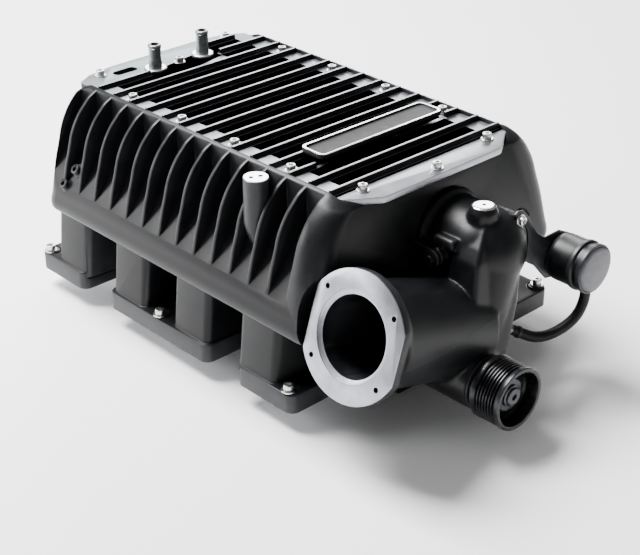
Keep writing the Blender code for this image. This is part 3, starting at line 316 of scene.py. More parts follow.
# ---------------------------------------------------------------- shapes
class Shape:
    """A solid under construction, held as a bmesh."""

    def __init__(self) -> None:
        """Starts empty."""
        self.bm = bmesh.new()

    @classmethod
    def box(cls, low: Sequence[float], high: Sequence[float]) -> Shape:
        """A box between two corners."""
        made = cls()
        low, high = Vector(low), Vector(high)
        bmesh.ops.create_cube(made.bm, size=1.0)
        bmesh.ops.scale(made.bm, vec=high - low, verts=made.bm.verts)
        bmesh.ops.translate(made.bm, vec=(low + high) / 2, verts=made.bm.verts)
        return made

    @classmethod
    def rod(cls, start: Sequence[float], end: Sequence[float], radius: float,
            end_radius: float | None = None, sides: int = 64) -> Shape:
        """A cylinder, or a cone with an end_radius, between two points."""
        made = cls()
        start, end = Vector(start), Vector(end)
        bmesh.ops.create_cone(made.bm, cap_ends=True, segments=sides, radius1=radius,
                              radius2=radius if end_radius is None else end_radius,
                              depth=(end - start).length, matrix=along((start + end) / 2, end - start))
        return made

    @classmethod
    def ball(cls, centre: Sequence[float], radius: float, sides: int = 48) -> Shape:
        """A sphere."""
        made = cls()
        bmesh.ops.create_uvsphere(made.bm, u_segments=sides, v_segments=sides // 2, radius=radius,
                                  matrix=Matrix.Translation(Vector(centre)))
        return made

    @classmethod
    def prism(cls, outline: Sequence[Point2], low: float, high: float, axis: Axis) -> Shape:
        """An outline drawn out along an axis.

        Args:
            outline: points as (Y, Z) for X, (X, Z) for Y and (X, Y) for Z.
            low: where it starts along the axis.
            high: where it ends.
            axis: the axis it is drawn out along.

        Returns:
            The closed prism.
        """
        made = cls()
        places = {Axis.X: lambda u, v: (low, u, v), Axis.Y: lambda u, v: (u, low, v),
                  Axis.Z: lambda u, v: (u, v, low)}
        corners = [made.bm.verts.new(places[axis](u, v)) for u, v in outline]
        face = made.bm.faces.new(corners)
        drawn = bmesh.ops.extrude_face_region(made.bm, geom=[face])["geom"]
        step = Vector((axis is Axis.X, axis is Axis.Y, axis is Axis.Z)) * (high - low)
        bmesh.ops.translate(made.bm, vec=step, verts=[v for v in drawn if isinstance(v, bmesh.types.BMVert)])
        bmesh.ops.recalc_face_normals(made.bm, faces=made.bm.faces)
        return made

    @classmethod
    def turned(cls, profile: Sequence[Point2], start: Sequence[float], direction: Sequence[float],
               sides: int = 64, closed: bool = False) -> Shape:
        """A profile of (radius, distance along) spun a full turn about an axis."""
        made = cls()
        corners = [made.bm.verts.new((radius, 0.0, height)) for radius, height in profile]
        edges = [made.bm.edges.new(pair) for pair in zip(corners, corners[1:])]
        if closed:
            edges.append(made.bm.edges.new((corners[-1], corners[0])))
        bmesh.ops.spin(made.bm, geom=corners + edges, cent=(0, 0, 0), axis=(0, 0, 1), dvec=(0, 0, 0),
                       angle=math.tau, steps=sides, use_merge=True)
        bmesh.ops.remove_doubles(made.bm, verts=made.bm.verts, dist=1e-6)
        bmesh.ops.recalc_face_normals(made.bm, faces=made.bm.faces)
        return made.moved(along(start, direction))

    @classmethod
    def lofted(cls, outline: Sequence[Point2], count: int,
               place: Callable[[Point2, int], Point3]) -> Shape:
        """An outline carried through a row of stations and capped at both ends.

        Args:
            outline: the section's points.
            count: how many stations there are.
            place: gives where an outline point lies at a station.

        Returns:
            The closed loft.
        """
        made = cls()
        ring = [made.bm.verts.new(place(point, 0)) for point in outline]
        edges = [made.bm.edges.new(pair) for pair in zip(ring, ring[1:] + ring[:1])]
        made.bm.faces.new(ring)
        for station in range(1, count):
            drawn = bmesh.ops.extrude_edge_only(made.bm, edges=edges)["geom"]
            edges = [item for item in drawn if isinstance(item, bmesh.types.BMEdge)]
            fresh = [item for item in drawn if isinstance(item, bmesh.types.BMVert)]
            order = {tuple(round(c, 7) for c in old.co): index for index, old in enumerate(ring)}
            found = [None] * len(ring)
            for vert in fresh:
                found[order[tuple(round(c, 7) for c in vert.co)]] = vert
            for point, vert in zip(outline, found):
                vert.co = place(point, station)
            ring = found
        made.bm.faces.new(ring)
        bmesh.ops.recalc_face_normals(made.bm, faces=made.bm.faces)
        return made

    def copy(self) -> Shape:
        """A copy of this shape."""
        twin = Shape()
        twin.bm = self.bm.copy()
        return twin

    def moved(self, matrix: Matrix) -> Shape:
        """This shape after a transform."""
        bmesh.ops.transform(self.bm, matrix=matrix, verts=self.bm.verts)
        if matrix.determinant() < 0:
            bmesh.ops.reverse_faces(self.bm, faces=self.bm.faces)
        return self

    def mirror_x(self) -> Shape:
        """The mirror image on the other side of the middle plane."""
        return self.copy().moved(Matrix.Scale(-1, 4, (1, 0, 0)))

    def with_shape(self, other: Shape) -> Shape:
        """Puts another shape beside this one, without joining their walls."""
        spare = bpy.data.meshes.new("spare")
        other.bm.to_mesh(spare)
        self.bm.from_mesh(spare)
        bpy.data.meshes.remove(spare)
        return self

    def combined(self, how: Join, *others: Shape) -> Shape:
        """Joins this shape with others, one exact Boolean each."""
        if not others:
            return self
        base = self.as_object("boolean_base")
        tools = []
        for other in others:
            tool = other.as_object("boolean_tool")
            step = base.modifiers.new("step", "BOOLEAN")
            step.operation = how.value
            step.solver = "EXACT"
            step.object = tool
            tools.append(tool)
        self.take(base)
        for tool in tools:
            discard(tool)
        return self

    def take(self, source: bpy.types.Object) -> None:
        """Replaces this bmesh by an object's evaluated mesh, and discards the object."""
        bpy.context.view_layer.update()
        graph = bpy.context.evaluated_depsgraph_get()
        mesh = bpy.data.meshes.new_from_object(source.evaluated_get(graph))
        self.bm.free()
        self.bm = bmesh.new()
        self.bm.from_mesh(mesh)
        bpy.data.meshes.remove(mesh)
        discard(source)

    def as_object(self, name: str) -> bpy.types.Object:
        """A scratch object with a copy of this shape's mesh."""
        mesh = bpy.data.meshes.new(name)
        self.bm.to_mesh(mesh)
        made = bpy.data.objects.new(name, mesh)
        bpy.context.scene.collection.objects.link(made)
        return made

    def flattened(self) -> Shape:
        """Dissolves edges between faces in one plane, which a Boolean leaves."""
        bmesh.ops.remove_doubles(self.bm, verts=self.bm.verts, dist=1e-5)
        bmesh.ops.dissolve_limit(self.bm, angle_limit=math.radians(0.6), verts=self.bm.verts,
                                 edges=self.bm.edges)
        return self

    def rounded(self, width: float, angle: float = 35.0, segments: int = 2,
                where: Callable[[Vector], bool] | None = None) -> Shape:
        """Rounds the edges that are sharper than an angle.

        Args:
            width: how far the rounding reaches along each face.
            angle: the least turn between faces, in degrees, that is rounded.
            segments: how many strips make the rounding.
            where: picks edges by their middle point.

        Returns:
            This shape.
        """
        limit = math.radians(angle)
        edges = [edge for edge in self.bm.edges
                 if len(edge.link_faces) == 2 and edge.calc_face_angle(0.0) > limit
                 and (where is None or where((edge.verts[0].co + edge.verts[1].co) / 2))]
        if edges:
            bmesh.ops.bevel(self.bm, geom=edges, offset=width, segments=segments, profile=0.5,
                            affect="EDGES", offset_type="OFFSET", material=-1, clamp_overlap=False,
                            loop_slide=True)
        return self

    def cast(self, voxel: float, rounds: int) -> Shape:
        """Blends joined shapes to one skin with soft corners, as a casting has."""
        source = self.as_object("cast_base")
        remesh = source.modifiers.new("skin", "REMESH")
        remesh.mode = "VOXEL"
        remesh.voxel_size = voxel
        smooth = source.modifiers.new("soften", "SMOOTH")
        smooth.factor = 0.5
        smooth.iterations = rounds
        self.take(source)
        return self

    def sliced(self, point: Sequence[float], normal: Sequence[float]) -> Shape:
        """Keeps what lies behind a plane, and closes the cut."""
        geometry = list(self.bm.verts) + list(self.bm.edges) + list(self.bm.faces)
        cut = bmesh.ops.bisect_plane(self.bm, geom=geometry, plane_co=Vector(point),
                                     plane_no=Vector(normal), clear_outer=True, clear_inner=False)
        edges = [item for item in cut["geom_cut"] if isinstance(item, bmesh.types.BMEdge)]
        bmesh.ops.triangle_fill(self.bm, use_beauty=True, edges=edges)
        bmesh.ops.recalc_face_normals(self.bm, faces=self.bm.faces)
        return self

    def piece(self, name: str, finishes: Sequence[Finish], slot: str, body: str = HOUSING,
              stands_for: Iterable[str] = (), pick: Callable[[bmesh.types.BMFace], int] | None = None,
              crease: float = 32.0) -> bpy.types.Object:
        """Makes the finished object, dressed and riding on its body.

        Args:
            name: the piece's name.
            finishes: its finishes, the main one first.
            slot: the record's material slot; not used.
            body: the body that it moves with.
            stands_for: the CAD nodes that it replaces.
            pick: gives the number of a face's finish, where there are several.
            crease: edges sharper than this, in degrees, stay sharp in the shading.

        Returns:
            The object.
        """
        if pick is not None:
            self.bm.normal_update()
            for face in self.bm.faces:
                face.material_index = pick(face)
        mesh = bpy.data.meshes.new(name)
        self.bm.to_mesh(mesh)
        self.bm.free()
        mesh.shade_smooth()
        mesh.set_sharp_from_angle(angle=math.radians(crease))
        for finish in finishes:
            mesh.materials.append(finish.material())
        made = bpy.data.objects.new(name, mesh)
        bpy.context.scene.collection.objects.link(made)
        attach(made, body)
        nodes = list(stands_for)
        if nodes:
            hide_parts(*nodes)
        log.info("%-26s %7d faces on %s", name, len(mesh.polygons), body)
        return made


def discard(thing: bpy.types.Object) -> None:
    """Removes a scratch object and its mesh."""
    mesh = thing.data
    bpy.data.objects.remove(thing)
    bpy.data.meshes.remove(mesh)


def union(shapes: Sequence[Shape]) -> Shape:
    """Joins a row of shapes into the first."""
    return shapes[0].combined(Join.ADD, *shapes[1:])


# ---------------------------------------------------------------- shared layout
@dataclass(frozen=True)
class Layout:
    """Sizes that several sub-assemblies share, as the design has them."""

    rib_pitch: float = 0.0283
    front_rib_y: float = -0.208
    rib_count: int = 15
    bore_pitch: float = 0.1055
    rotor_x: float = 0.038
    rotor_z: float = 0.058
    lid_half: float = 0.121
    lid_bottom: float = 0.2330
    lid_top: float = 0.2400
    rib_top: float = 0.2460
    deck_z: float = 0.022
    gap: float = 0.0003

    def rib_y(self, index: int) -> float:
        """Where a cooling rib lies, 0 at the rear wall and rising to the front."""
        return self.front_rib_y + (self.rib_count - 1 - index) * self.rib_pitch

    def lid_outline(self, inset: float = 0.0) -> list[Point2]:
        """The lid's plan with its corners cut back and eased."""
        half = self.lid_half - inset
        front = -0.245 + inset
        rear = 0.214 - inset
        right = [(0.081, front), (0.0855, front + 0.0012), (half - 0.003, -0.2215), (half, -0.217),
                 (half, 0.193), (half - 0.002, 0.197), (0.100 - inset, 0.2080), (0.066, rear)]
        return right + [(-x, y) for x, y in reversed(right)]

    def runner_centres(self) -> list[float]:
        """The four runners along a bank, front first."""
        return [(index - 1.5) * self.bore_pitch for index in range(4)]


LAYOUT = Layout()


# ---------------------------------------------------------------- fasteners
class Drive(Enum):
    """What a screw's head is turned by."""

    HEX_SOCKET = 6
    HOLE = 20


@dataclass
class Screw:
    """A cap screw with its washer, whose seat is at the origin and whose head rises along +Z."""

    head_radius: float = 0.0048
    head: float = 0.0056
    washer: float = 0.0068
    washer_thick: float = 0.0012
    shank: float = 0.004
    drive: Drive = Drive.HEX_SOCKET

    def shape(self) -> Shape:
        """The screw with its socket and rounded head."""
        top = self.washer_thick + self.head
        ease = self.head_radius * 0.14
        knurl = self.head_radius * 0.985
        profile = [(0.0, top), (self.head_radius - ease, top), (self.head_radius - ease * 0.3, top - ease * 0.3),
                   (self.head_radius, top - ease), (knurl, self.washer_thick), (self.washer - 0.0003, self.washer_thick),
                   (self.washer, self.washer_thick - 0.0003), (self.washer, 0.0), (self.shank / 2, 0.0),
                   (self.shank / 2, -self.shank), (0.0, -self.shank)]
        body = Shape.turned(profile, (0, 0, 0), (0, 0, 1), sides=28)
        reach = self.head_radius * (0.56 if self.drive is Drive.HEX_SOCKET else 0.32)
        socket = Shape.rod((0, 0, top - self.head * 0.55), (0, 0, top + 0.001), reach,
                           sides=self.drive.value)
        return body.combined(Join.CUT, socket)

    def placed(self, at: Sequence[float], up: Sequence[float] = (0, 0, 1)) -> Shape:
        """The screw standing on a face."""
        return self.shape().moved(along(at, up))


# ---------------------------------------------------------------- plenum housing
@dataclass
class PlenumHousing:
    """The black casting with side ribs that the lid closes."""

    seat: float = 0.2327
    rail_bottom: float = 0.107
    floor_bottom: float = 0.1135
    corner: float = 0.024
    corner_steps: int = 8
    rear_y: float = 0.196
    front_top: float = -0.232
    front_foot: float = -0.2485
    fin: float = 0.0044
    fin_soft: float = 0.0011
    flank: tuple[Point2, ...] = ((-0.1213, 0.2445), (-0.1334, 0.2385), (-0.140, 0.2327), (-0.1513, 0.2205),
                                 (-0.1612, 0.203), (-0.1673, 0.1825), (-0.1736, 0.1617), (-0.180, 0.1308),
                                 (-0.1832, 0.119), (-0.1822, 0.1115), (-0.175, 0.107))
    pocket: tuple[Point2, ...] = ((-0.1262, 0.262), (-0.1262, 0.208), (-0.1800, 0.1400), (-0.215, 0.138),
                                  (-0.215, 0.262))
    post: Point2 = (-0.150, -0.1355)
    post_radius: float = 0.0128
    post_top: float = 0.245

    def section(self) -> list[Point2]:
        """The outline across the engine, smooth down each flank."""
        left = [(-0.1213, self.seat)] + [tuple(point) for point in smooth_route(self.flank, 3)]
        left += [(-0.099, self.rail_bottom), (-0.095, self.floor_bottom)]
        return left + [(-x, z) for x, z in reversed(left)]

    def front_y(self, z: float) -> float:
        """The front wall's place at a height: it leans forward to its foot."""
        share = (0.250 - z) / 0.150
        return self.front_top + (self.front_foot - self.front_top) * share

    def station(self, point: Point2, index: int) -> Point3:
        """Where a section point lies at a station, with the end corners rounded in plan.

        Args:
            point: the section point.
            index: the station, counted from the front.

        Returns:
            The point in space.
        """
        x, z = point
        steps = self.corner_steps
        front = index <= steps
        turn = (index if front else 2 * steps + 1 - index) / steps * math.pi / 2
        inward = self.corner * (1 - math.sin(turn))
        back = self.corner * (1 - math.cos(turn))
        y = self.front_y(z) + back if front else self.rear_y - back
        if abs(x) > 0.1:
            side = math.copysign(1.0, x)
            x -= side * inward
            z -= max(z - self.seat, 0.0) * (inward / self.corner) ** 0.5
        return (x, y, z)

    def pockets(self) -> list[Shape]:
        """The cutters of the deep pockets between the ribs, for both flanks."""
        made = []
        for index in range(LAYOUT.rib_count - 1):
            low = LAYOUT.rib_y(index + 1) + self.fin / 2
            high = LAYOUT.rib_y(index) - self.fin / 2
            cutter = Shape.prism(self.pocket, low, high, Axis.Y)
            made += [cutter, cutter.mirror_x()]
        return made

    def build(self) -> None:
        """Makes the housing, its post and its small bosses."""
        body = Shape.lofted(self.section(), 2 * self.corner_steps + 2, self.station)
        group = Shape()
        for cutter in self.pockets():
            group.with_shape(cutter)
        body.combined(Join.CUT, group)
        ports = Shape()
        for y in LAYOUT.runner_centres():
            for side in both_sides(0.1395):
                ports.with_shape(Shape.box((side - 0.0195, y - 0.021, 0.100), (side + 0.0195, y + 0.021, 0.150)))
        seat = Shape.rod((0.014, -0.262, 0.167), (0.014, -0.2345, 0.167), 0.0482)
        flange = Shape.rod(InletHousing.tube_point(-0.020), InletHousing.tube_point(0.0125), 0.0662)
        tube = Shape.rod(InletHousing.tube_point(0.0), InletHousing.tube_point(0.160), 0.0548, 0.0512)
        body.combined(Join.CUT, ports)
        body.flattened()
        body.rounded(self.fin_soft, 38.0, 2)
        body.combined(Join.CUT, seat, flange, tube)
        # The coat's lightened edges put a painted highlight, with wear, on the rib crests.
        body.piece("manifold_housing", [POWDER_COAT], "casting_black", stands_for=["manifold_housing"],
                   crease=40.0)
        self.build_post()
        self.build_bosses()

    def build_post(self) -> None:
        """The round post among the left ribs, with a bare top and two small holes."""
        x, y = self.post
        r = self.post_radius
        profile = [(0.0, self.post_top), (r - 0.0008, self.post_top), (r, self.post_top - 0.0008),
                   (r, 0.196), (r - 0.0030, 0.184), (0.0025, 0.166), (0.0, 0.165)]
        post = Shape.turned(profile, (x, y, 0.0), (0, 0, 1))
        holes = [Shape.rod((x + dx, y + dy, self.post_top - 0.006), (x + dx, y + dy, self.post_top + 0.002),
                           0.0025, sides=20) for dx, dy in ((-0.0042, 0.0022), (0.0046, -0.0016))]
        post.combined(Join.CUT, *holes)
        post.piece("sensor_post", [POWDER_COAT, POLISHED], "casting_black",
                   pick=lambda face: int(face.calc_center_median().z > self.post_top - 0.0009
                                         and face.normal.z > 0.5))

    def build_bosses(self) -> None:
        """Two cast bosses on each flank's rear foot, each with a dark cap screw."""
        way = Vector((0.80, 0.0, 0.60))
        for name, side in (("left", -1.0), ("right", 1.0)):
            outward = Vector((side * way.x, way.y, way.z))
            bosses, screws = Shape(), Shape()
            for x, y, z in ((0.1685, 0.1573, 0.1395), (0.1620, 0.1417, 0.1600)):
                foot = Vector((side * x, y, z)) - outward * 0.005
                bosses.with_shape(Shape.turned([(0.0, 0.0140), (0.0066, 0.0140), (0.0078, 0.0128), (0.0088, 0.0),
                                                (0.0, 0.0)], foot, outward, 40))
                screws.with_shape(Screw(0.0056, 0.0048, 0.0062, 0.0005, 0.003).placed(
                    foot + outward * 0.0141, outward))
            bosses.piece(f"flank_bosses_{name}", [POWDER_COAT], "casting_black")
            screws.piece(f"flank_screws_{name}", [BLACK_SCREW], "bolt_zinc")


# ---------------------------------------------------------------- lid
@dataclass
class Lid:
    """The ribbed lid, its badge, bolts and coolant fittings."""

    crest: float = 0.0031
    root: float = 0.0056
    floor: float = 0.2347
    groove_end: float = 0.0930
    groove_slant: float = 0.0055
    soft: float = 0.0006
    badge_low: Point2 = (-0.080, -0.1555)
    badge_high: Point2 = (0.095, -0.1205)

    def bolt_spots(self) -> list[Point2]:
        """The bolts' centres."""
        sides = [LAYOUT.rib_y(index) - 0.62 * LAYOUT.rib_pitch for index in (2, 5, 8, 11)]
        spots = [(x, y) for y in sides for x in both_sides(0.109)]
        spots += [(-0.0895, -0.2206), (0.0, -0.234), (0.0895, -0.2206)]
        spots += [(-0.092, 0.197), (0.0, 0.170), (0.092, 0.197)]
        return spots

    def groove(self, low: float, high: float, left: float, right: float) -> Shape:
        """A cutter of one groove between two ribs, with slanting ends."""
        slant = self.groove_slant
        outline = [(left - slant, LAYOUT.lid_top + 0.001), (left, self.floor), (right, self.floor),
                   (right + slant, LAYOUT.lid_top + 0.001)]
        return Shape.prism(outline, low, high, Axis.Y)

    def rib(self, y: float, left: float, right: float) -> Shape:
        """A rib with sloping sides and eased ends."""
        foot = LAYOUT.lid_top - 0.002
        outline = [(y - self.root / 2, foot), (y + self.root / 2, foot), (y + self.crest / 2, LAYOUT.rib_top),
                   (y - self.crest / 2, LAYOUT.rib_top)]
        return Shape.prism(outline, left, right, Axis.X)

    def bare(self, face: bmesh.types.BMFace) -> int:
        """Which finish a face has: bare metal on what the cutter reached, and elsewhere the darker coat that paints
        shade into the grooves.
        """
        middle = face.calc_center_median()
        if face.normal.z > 0.55 and middle.z > LAYOUT.lid_top - 0.0008:
            return 2 if middle.y > LAYOUT.rib_y(2) + 0.004 and middle.z < LAYOUT.lid_top + 0.001 else 1
        if middle.y < -0.2165 and middle.z < LAYOUT.lid_top + 0.001 and abs(face.normal.z) < 0.75:
            return 1
        return 0

    def build(self) -> None:
        """Makes the lid and what stands on it."""
        half = LAYOUT.lid_half
        plate = Shape.prism(LAYOUT.lid_outline(), LAYOUT.lid_bottom, LAYOUT.lid_top, Axis.Z)
        grooves = Shape()
        for index in range(2, LAYOUT.rib_count - 1):
            low = LAYOUT.rib_y(index + 1) + self.root / 2
            high = LAYOUT.rib_y(index) - self.root / 2
            grooves.with_shape(self.groove(low, high, -self.groove_end, self.groove_end))
        front = LAYOUT.rib_y(LAYOUT.rib_count - 1) - self.root / 2
        grooves.with_shape(self.groove(front - 0.0040, front, -half - 0.01, half + 0.01))
        inner = LAYOUT.rib_y(2) + self.root / 2, LAYOUT.rib_y(1) - self.root / 2
        outer = LAYOUT.rib_y(1) + self.root / 2, LAYOUT.rib_y(0) - self.root / 2
        grooves.with_shape(self.groove(*inner, -self.groove_end, -0.052))
        grooves.with_shape(self.groove(*inner, 0.056, self.groove_end))
        grooves.with_shape(self.groove(*outer, 0.056, self.groove_end - 0.006))
        grooves.with_shape(Shape.prism(rounded_rectangle((-0.078, 0.1845), (-0.047, 0.1965), 0.0058),
                                       self.floor, LAYOUT.lid_top + 0.002, Axis.Z))
        plate.combined(Join.CUT, grooves)
        ribs = Shape()
        for index in range(2, LAYOUT.rib_count):
            y = LAYOUT.rib_y(index)
            if index == 12:
                ribs.with_shape(self.rib(y, -half, self.badge_low[0] - 0.006))
                ribs.with_shape(self.rib(y, self.badge_high[0] + 0.006, half))
            else:
                ribs.with_shape(self.rib(y, -half, half))
        ribs.with_shape(self.rib(LAYOUT.rib_y(1), -half, -0.050))
        ribs.with_shape(self.rib(LAYOUT.rib_y(1), 0.052, half))
        ribs.with_shape(self.rib(LAYOUT.rib_y(0), 0.052, 0.0985))
        plate.combined(Join.ADD, ribs)
        plate.flattened().rounded(self.soft, 38.0, 2)
        # The first finish is the coat darkened as painted shade for the grooves.
        plate.piece("plenum_lid", [LID_COAT_PAINTED_SHADE, FLY_CUT, DULL_CUT], "casting_satin", stands_for=["plenum_lid"],
                    pick=self.bare, crease=30.0)
        self.build_badge()
        self.build_bolts()
        self.build_fittings()

    def build_badge(self) -> None:
        """A blank badge plate: a bright raised rim round a dark cast field."""
        low, high = self.badge_low, self.badge_high
        base = LAYOUT.rib_top + LAYOUT.gap
        plate = Shape.prism(rounded_rectangle(low, high, 0.008), base, base + 0.0052, Axis.Z)
        rim = 0.0036
        inner = rounded_rectangle((low[0] + rim, low[1] + rim), (high[0] - rim, high[1] - rim), 0.0050)
        plate.combined(Join.CUT, Shape.prism(inner, base + 0.0030, base + 0.01, Axis.Z))
        plate.flattened().rounded(0.0005, 40.0, 2)
        plate.piece("badge_plate", [POLISHED, BADGE_FIELD], "machined_badge", stands_for=["badge_plate"],
                    pick=lambda face: int(face.calc_center_median().z < base + 0.0049))

    def build_bolts(self) -> None:
        """The bolts round the lid."""
        screw = Screw(shank=0.0046).shape()
        for number, (x, y) in enumerate(self.bolt_spots(), 1):
            name = f"lid_bolt_{number:02d}"
            placed = screw.copy().moved(Matrix.Translation((x, y, LAYOUT.lid_top + 0.0001)))
            placed.piece(name, [ZINC], "bolt_zinc", stands_for=[name])

    def build_fittings(self) -> None:
        """The two upright hose fittings on their base flanges."""
        for side, x in zip(("left", "right"), both_sides(0.0345)):
            profile = [(0.0048, 0.0306), (0.0062, 0.0306), (0.0072, 0.0300), (0.0078, 0.0286), (0.0078, 0.0272),
                       (0.0071, 0.0262), (0.0070, 0.0110), (0.0076, 0.0095), (0.0076, 0.0030), (0.0048, 0.0030)]
            stem = Shape.turned(profile, (x, 0.170, LAYOUT.lid_top), (0, 0, 1), 48, closed=True)
            base = Shape.turned([(0.0046, 0.0034), (0.0120, 0.0034), (0.0130, 0.0024), (0.0130, 0.0002),
                                 (0.0046, 0.0002)], (x, 0.170, LAYOUT.lid_top), (0, 0, 1), 48, closed=True)
            stem.piece(f"coolant_fitting_{side}", [TURNED_STEEL], "steel_turned",
                       stands_for=[f"coolant_fitting_{side}"])
            base.piece(f"fitting_base_{side}", [NICKEL], "steel_turned")


# ---------------------------------------------------------------- runners
@dataclass
class Runners:
    """The runners of both banks on their flanges, with the flange bolts."""

    top: float = 0.1067
    half: float = 0.029
    flange_top: float = 0.044
    bolt_x: float = 0.1735
    lug_x: float = 0.1705
    lug: float = 0.0086
    groups: tuple = (("front", (0,), (-0.2165, -0.1320), -0.2050), ("middle", (1, 2), (-0.0850, 0.0850), 0.0),
                     ("rear", (3,), (0.1320, 0.2165), 0.2050))
    right_front: Point2 = (-0.2465, -0.2346)

    def tube(self, y: float) -> Shape:
        """One runner with rounded upright edges."""
        section = [(0.112, self.top), (0.114, 0.036), (0.1768, 0.036), (0.1700, self.top)]
        made = Shape.prism(section, y - self.half, y + self.half, Axis.Y)
        return made.rounded(0.0085, 50.0, 5, lambda middle: self.top - 0.01 > middle.z > 0.045)

    def group(self, members: Sequence[int], low: float, high: float, bolt: float) -> Shape:
        """One flange with its runners, on the right bank.

        Args:
            members: the runners' numbers.
            low: where the flange starts along Y.
            high: where it ends.
            bolt: the bolt's place along Y.

        Returns:
            The joined and rounded casting.
        """
        centres = [LAYOUT.runner_centres()[member] for member in members]
        flange = Shape.prism(rounded_rectangle((0.112, low), (0.1800, high), 0.010), LAYOUT.deck_z,
                             self.flange_top - 0.0012, Axis.Z)
        lug = Shape.rod((self.lug_x, bolt, LAYOUT.deck_z + 0.004), (self.lug_x, bolt, self.flange_top), self.lug)
        made = union([flange, lug] + [self.tube(y) for y in centres])
        made.flattened().rounded(0.0016, 34.0, 3, lambda middle: middle.z > LAYOUT.deck_z + 0.001)
        ports = [Shape.prism(rounded_rectangle((0.120, y - 0.021), (0.162, y + 0.021), 0.007), LAYOUT.deck_z - 0.002,
                             self.top + 0.002, Axis.Z) for y in centres]
        return made.combined(Join.CUT, *ports)

    def build(self) -> None:
        """Makes both banks and their bolts."""
        screw = Screw(0.0052, 0.0056, 0.0075, 0.0014, 0.005).shape()
        for side, sign in (("left", -1), ("right", 1)):
            for place, members, (low, high), bolt in self.groups:
                if sign > 0 and place == "front":
                    low, bolt = self.right_front
                shape = self.group(members, low, high, bolt)
                if sign < 0:
                    shape = shape.mirror_x()
                name = f"runner_{side}_{place}"
                shape.piece(name, [POWDER_COAT, FLY_CUT], "casting_black", stands_for=[name], pick=self.on_deck)
                name = f"flange_bolt_{side}_{place}"
                spot = Matrix.Translation((sign * self.bolt_x, bolt, self.flange_top + 0.0001))
                screw.copy().moved(spot).piece(name, [ZINC], "bolt_zinc", stands_for=[name])

    def on_deck(self, face: bmesh.types.BMFace) -> int:
        """Whether a face is the milled foot that meets the head."""
        return int(face.normal.z < -0.9 and face.calc_center_median().z < LAYOUT.deck_z + 0.0005)


# ---------------------------------------------------------------- rotor case
@dataclass
class RotorCase:
    """The case round the rotors and the cover over their gears."""

    radius: float = 0.0545
    top: float = 0.1128
    front_y: float = -0.190
    rear_y: float = 0.125
    cover_rear: float = 0.160
    cover_radius: float = 0.0498

    def case_section(self) -> list[Point2]:
        """The case's section: two bores' walls on a flat belly."""
        wall = arc((-LAYOUT.rotor_x, LAYOUT.rotor_z), self.radius, 180, 250, 16)
        left = [(wall[0][0], self.top)] + wall + [(-0.050, 0.0)]
        return left + [(-x, z) for x, z in reversed(left)]

    def cover_section(self, radius: float) -> list[Point2]:
        """Two equal circles joined by straight sides."""
        left = arc((-LAYOUT.rotor_x, LAYOUT.rotor_z), radius, 90, 270, 32)
        return left + arc((LAYOUT.rotor_x, LAYOUT.rotor_z), radius, 270, 450, 32)

    def build(self) -> None:
        """Makes the case, the gear cover with its oil plug, and the cover's screws."""
        case = Shape.prism(self.case_section(), self.front_y, self.rear_y, Axis.Y)
        bores = [Shape.rod((x, self.front_y - 0.002, LAYOUT.rotor_z), (x, 0.105, LAYOUT.rotor_z), 0.0481)
                 for x in both_sides(LAYOUT.rotor_x)]
        window = Shape.box((-0.030, -0.100, 0.085), (0.030, 0.090, 0.116))
        case.rounded(0.0020, 35.0, 3, lambda middle: middle.z < 0.110)
        case.combined(Join.CUT, *bores, window)
        case.piece("rotor_case", [POWDER_COAT, FLY_CUT], "casting_black", stands_for=["rotor_case"],
                   pick=lambda face: int(face.normal.z < -0.98 and face.calc_center_median().z < 0.0005))
        cover = Shape.prism(self.cover_section(self.cover_radius), self.rear_y + LAYOUT.gap, self.cover_rear, Axis.Y)
        cover.rounded(0.0045, 50.0, 5, lambda middle: middle.y > self.cover_rear - 0.001)
        hollow = Shape.prism(self.cover_section(0.045), self.rear_y - 0.002, 0.1545, Axis.Y)
        cover.combined(Join.CUT, hollow)
        cover.piece("gear_cover", [POWDER_COAT], "casting_black", stands_for=["gear_cover"])
        plug = Screw(0.0078, 0.0030, 0.0090, 0.0010, 0.003).placed((0.0, self.cover_rear, 0.085), (0, 1, 0))
        plug.piece("oil_plug", [ZINC], "bolt_zinc")
        screws = Shape()
        for x, z in ((-0.070, 0.030), (-0.070, 0.086), (-0.022, 0.0165), (0.022, 0.0165), (0.070, 0.030),
                     (0.070, 0.086), (-0.022, 0.0995), (0.022, 0.0995)):
            screws.with_shape(Screw(0.0040, 0.0034, 0.0052, 0.0006, 0.003).placed((x, self.cover_rear, z), (0, 1, 0)))
        screws.piece("cover_screws", [BLACK_SCREW], "bolt_zinc")


